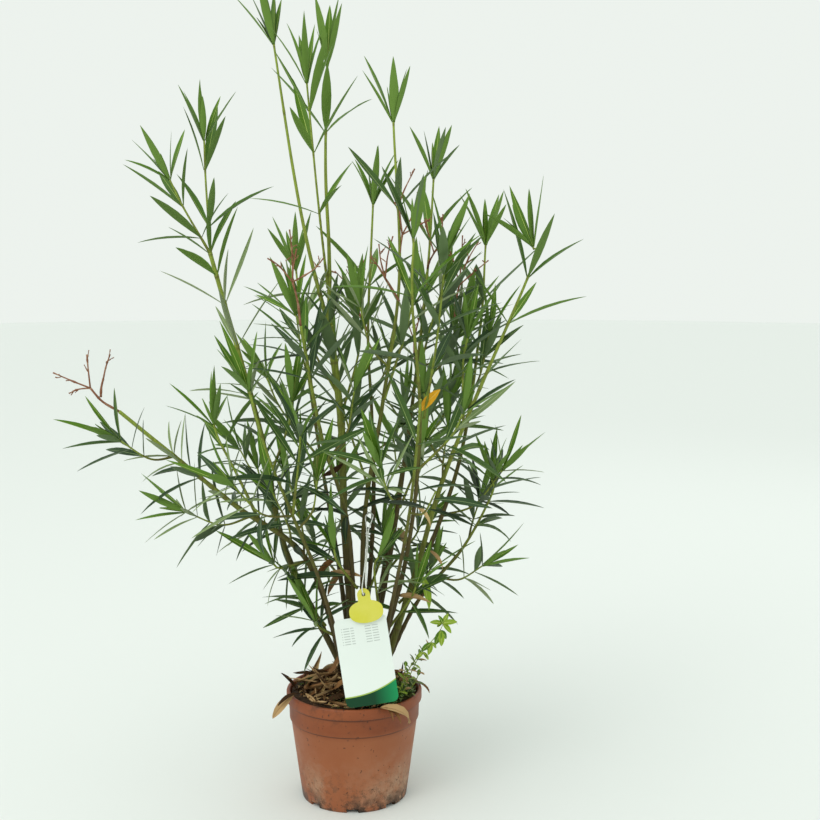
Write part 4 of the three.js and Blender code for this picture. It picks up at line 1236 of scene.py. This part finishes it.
def build_sheet(name, half_width, height, hole, centre, thickness, curl, material, slot, node):
    """A thin plate: rows of points, each as wide as half_width says and split round the hole.

    The two sides of the sheet are the same rows, half the thickness in front and behind, and
    every open edge is closed with a strip between them.
    """
    hole_rise, hole_radius = hole
    rows = np.sin(np.linspace(-1, 1, 73) * math.pi / 2) * height / 2
    if hole_radius > 0:
        rows = rows[np.abs(rows - hole_rise) > hole_radius * 1.02]
        round_hole = hole_rise + hole_radius * np.sin(np.linspace(-1, 1, 11) * math.pi / 2)
        rows = np.sort(np.concatenate([rows, round_hole]))
    wide = half_width(rows)[:, None]
    gap = np.sqrt(np.maximum(hole_radius ** 2 - (rows - hole_rise) ** 2, 0))[:, None]
    gap = np.where(gap < 1e-5, 0, gap)
    part = np.linspace(0, 1, 13)[None]
    halves = [-(wide + (gap - wide) * part), gap + (wide - gap) * part]
    flat = np.concatenate([np.stack([x, np.broadcast_to(rows[:, None], x.shape)], -1).reshape(-1, 2)
                           for x in halves])
    quads = grid_quads(len(rows), 13)
    quads = np.concatenate([quads, quads + len(rows) * 13])
    flat, index = np.unique(np.round(flat, 7), axis=0, return_inverse=True)
    quads = index.ravel()[quads]
    edges = np.concatenate([quads[:, [i, (i + 1) % 4]] for i in range(4)])
    span = len(flat)
    keys, back_keys = edges[:, 0] * span + edges[:, 1], edges[:, 1] * span + edges[:, 0]
    rim = edges[~np.isin(keys, back_keys)]
    x, z = flat.T
    off = curl * ((x / x.max()) ** 2 + 0.4 * np.sin(z / z.max() * 2.2))
    points = np.concatenate([hang(x, z, off - thickness / 2, centre),
                             hang(x, z, off + thickness / 2, centre)])
    strip = np.stack([rim[:, 1], rim[:, 0], rim[:, 0] + span, rim[:, 1] + span], -1)
    faces = np.concatenate([quads, quads[:, ::-1] + span, strip])
    creases = np.concatenate([rim, rim + span])
    piece = new_piece(name, points, faces, (), [material], creases=creases)
    layer = piece.data.uv_layers.new(name="sheet")
    corners = np.empty(len(piece.data.loops), np.int32)
    piece.data.loops.foreach_get("vertex_index", corners)
    sheet = np.stack([x / (x.max() - x.min()) + 0.5, z / (z.max() - z.min()) + 0.5], -1)
    layer.data.foreach_set("uv", np.vstack([sheet, sheet])[corners].astype(np.float32).ravel())
    finish(piece, slot, node)


def build_label(materials):
    build_sheet("label_sheet", card_half_width, CARD_HEIGHT, (0.0, 0.0), CARD_CENTRE, 0.0007, 0.0012,
                materials["card"], "card", "label_card")
    build_sheet("yellow_hang_tag", tag_half_width, 0.046, (0.015, 0.0026), TAG_CENTRE, 0.0008, 0.0004,
                materials["tag"], "tag", "hang_tag")
    heap = Heap()
    strands = [
        [(17.0, -76.8, 305.6), (16.6, -80.0, 305.2), (15.6, -80.9, 309.5), (14.9, -80.4, 315.5),
         (17.6, -69, 336), (19, -60, 352), (20, -50, 368), (20, -40, 384), (18, -26, 399), (24, -12, 402)],
        [(16.8, -76.8, 305.6), (18.4, -75.4, 310), (20.2, -74.4, 315.5), (19.6, -67.5, 336), (20.6, -59, 352),
         (21.6, -49, 368), (22.5, -39, 384), (28, -26, 399), (24, -12, 402)],
    ]
    for knots in strands:
        limb = Limb(knots)
        shares = np.linspace(0, 1, STRING_RINGS)
        points, quads, tris = tube(limb, shares, np.full(STRING_RINGS, STRING_RADIUS), STRING_SIDES)
        heap.put(points, quads, tris)
    piece = heap.build("tie_string", [materials["string"]])
    finish(piece, "card")


# ---------------------------------------------------------------- putting it together

def build_floor():
    """A wide flat disc that the pot stands on."""
    angle = np.arange(96) / 96 * TURN
    edge = np.stack([12 * np.cos(angle), 12 * np.sin(angle), angle * 0], -1)
    points = np.vstack([edge, [0, 0, 0]])
    i = np.arange(96)
    tris = np.stack([i, (i + 1) % 96, np.full(96, 96)], -1)
    floor = new_piece("floor", points, (), tris, [studio_floor()])


REGION_NODES = {
    "low_left": ["leaves_low_left", "crown_low_shoot", "spray_low_left_tip", "spray_low_left_hanging",
                 "spray_low_left_under", "spray_foot_left"],
    "tall_left": ["leaves_tall_left_low", "leaves_tall_left_high", "spray_left_outer",
                  "spray_left_upright", "spray_left_arm"],
    "top": ["crown_top_left", "crown_top_middle"],
    "centre": ["leaves_centre", "crown_thin_left"],
    "middle": ["leaves_middle", "crown_middle", "leaves_slim_right", "crown_slim_right"],
    "right": ["leaves_mid_right", "crown_mid_right", "leaves_green_right", "crown_green_right",
              "leaves_back_right", "crown_back_right", "crown_far_right", "spray_right_arm",
              "spray_right_low"],
    "rear": ["leaves_rear_left", "crown_rear_left", "leaves_rear_right", "crown_rear_right",
             "crown_back_middle"],
    "front": ["crown_front", "crown_front_left"],
}


def build_stool(materials):
    """The short swollen foot that all the stems rise from: a lumpy cone."""
    low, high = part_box("stem_stool")
    x, y = (low[0] + high[0]) / 2, (low[1] + high[1]) / 2
    limb = Limb(np.array([(x, y, low[2]), (x, y, (low[2] + high[2]) / 2), (x, y, high[2] + 0.002)]) / MM)
    shares = np.linspace(0, 1, 14)
    angle = np.arange(40) / 40 * TURN
    ring = np.stack(np.broadcast_arrays(np.cos(angle)[None], np.sin(angle)[None], shares[:, None]), -1)
    radii = (0.036 - 0.009 * shares[:, None]) * (1 + 0.10 * ripple(ring, 4.0, 5))
    radii = radii * np.where(shares > 0.9, 0.75, 1.0)[:, None]
    points, quads, tris = tube(limb, shares, radii, 40)
    heap = Heap()
    heap.put(points, quads, tris, age=np.ones(len(points)), scar=np.zeros(len(points)))
    piece = heap.build("stool_wood", [materials["bark"]])
    finish(piece, "bark", "stem_stool")


def main():
    make_camera()
    make_studio()
    build_floor()
    materials = {
        "pot": pot_plastic(), "soil": soil_crumb(), "bark": bark(), "dry": dry_stalk(),
        "card": printed_card(), "tag": yellow_tag(), "string": tie_string(),
    }
    leaf_skins = leaf_materials()
    build_pot(materials)
    build_compost(materials)
    build_stool(materials)
    beds = grow_plant(materials)
    for region, bed in beds.items():
        bed.build(f"leaves_of_{region}", leaf_skins, *REGION_NODES[region])
    build_trusses(materials)
    build_litter(leaf_skins)
    build_moss(leaf_skins)
    build_weeds(leaf_skins, materials)
    build_label(materials)


main()
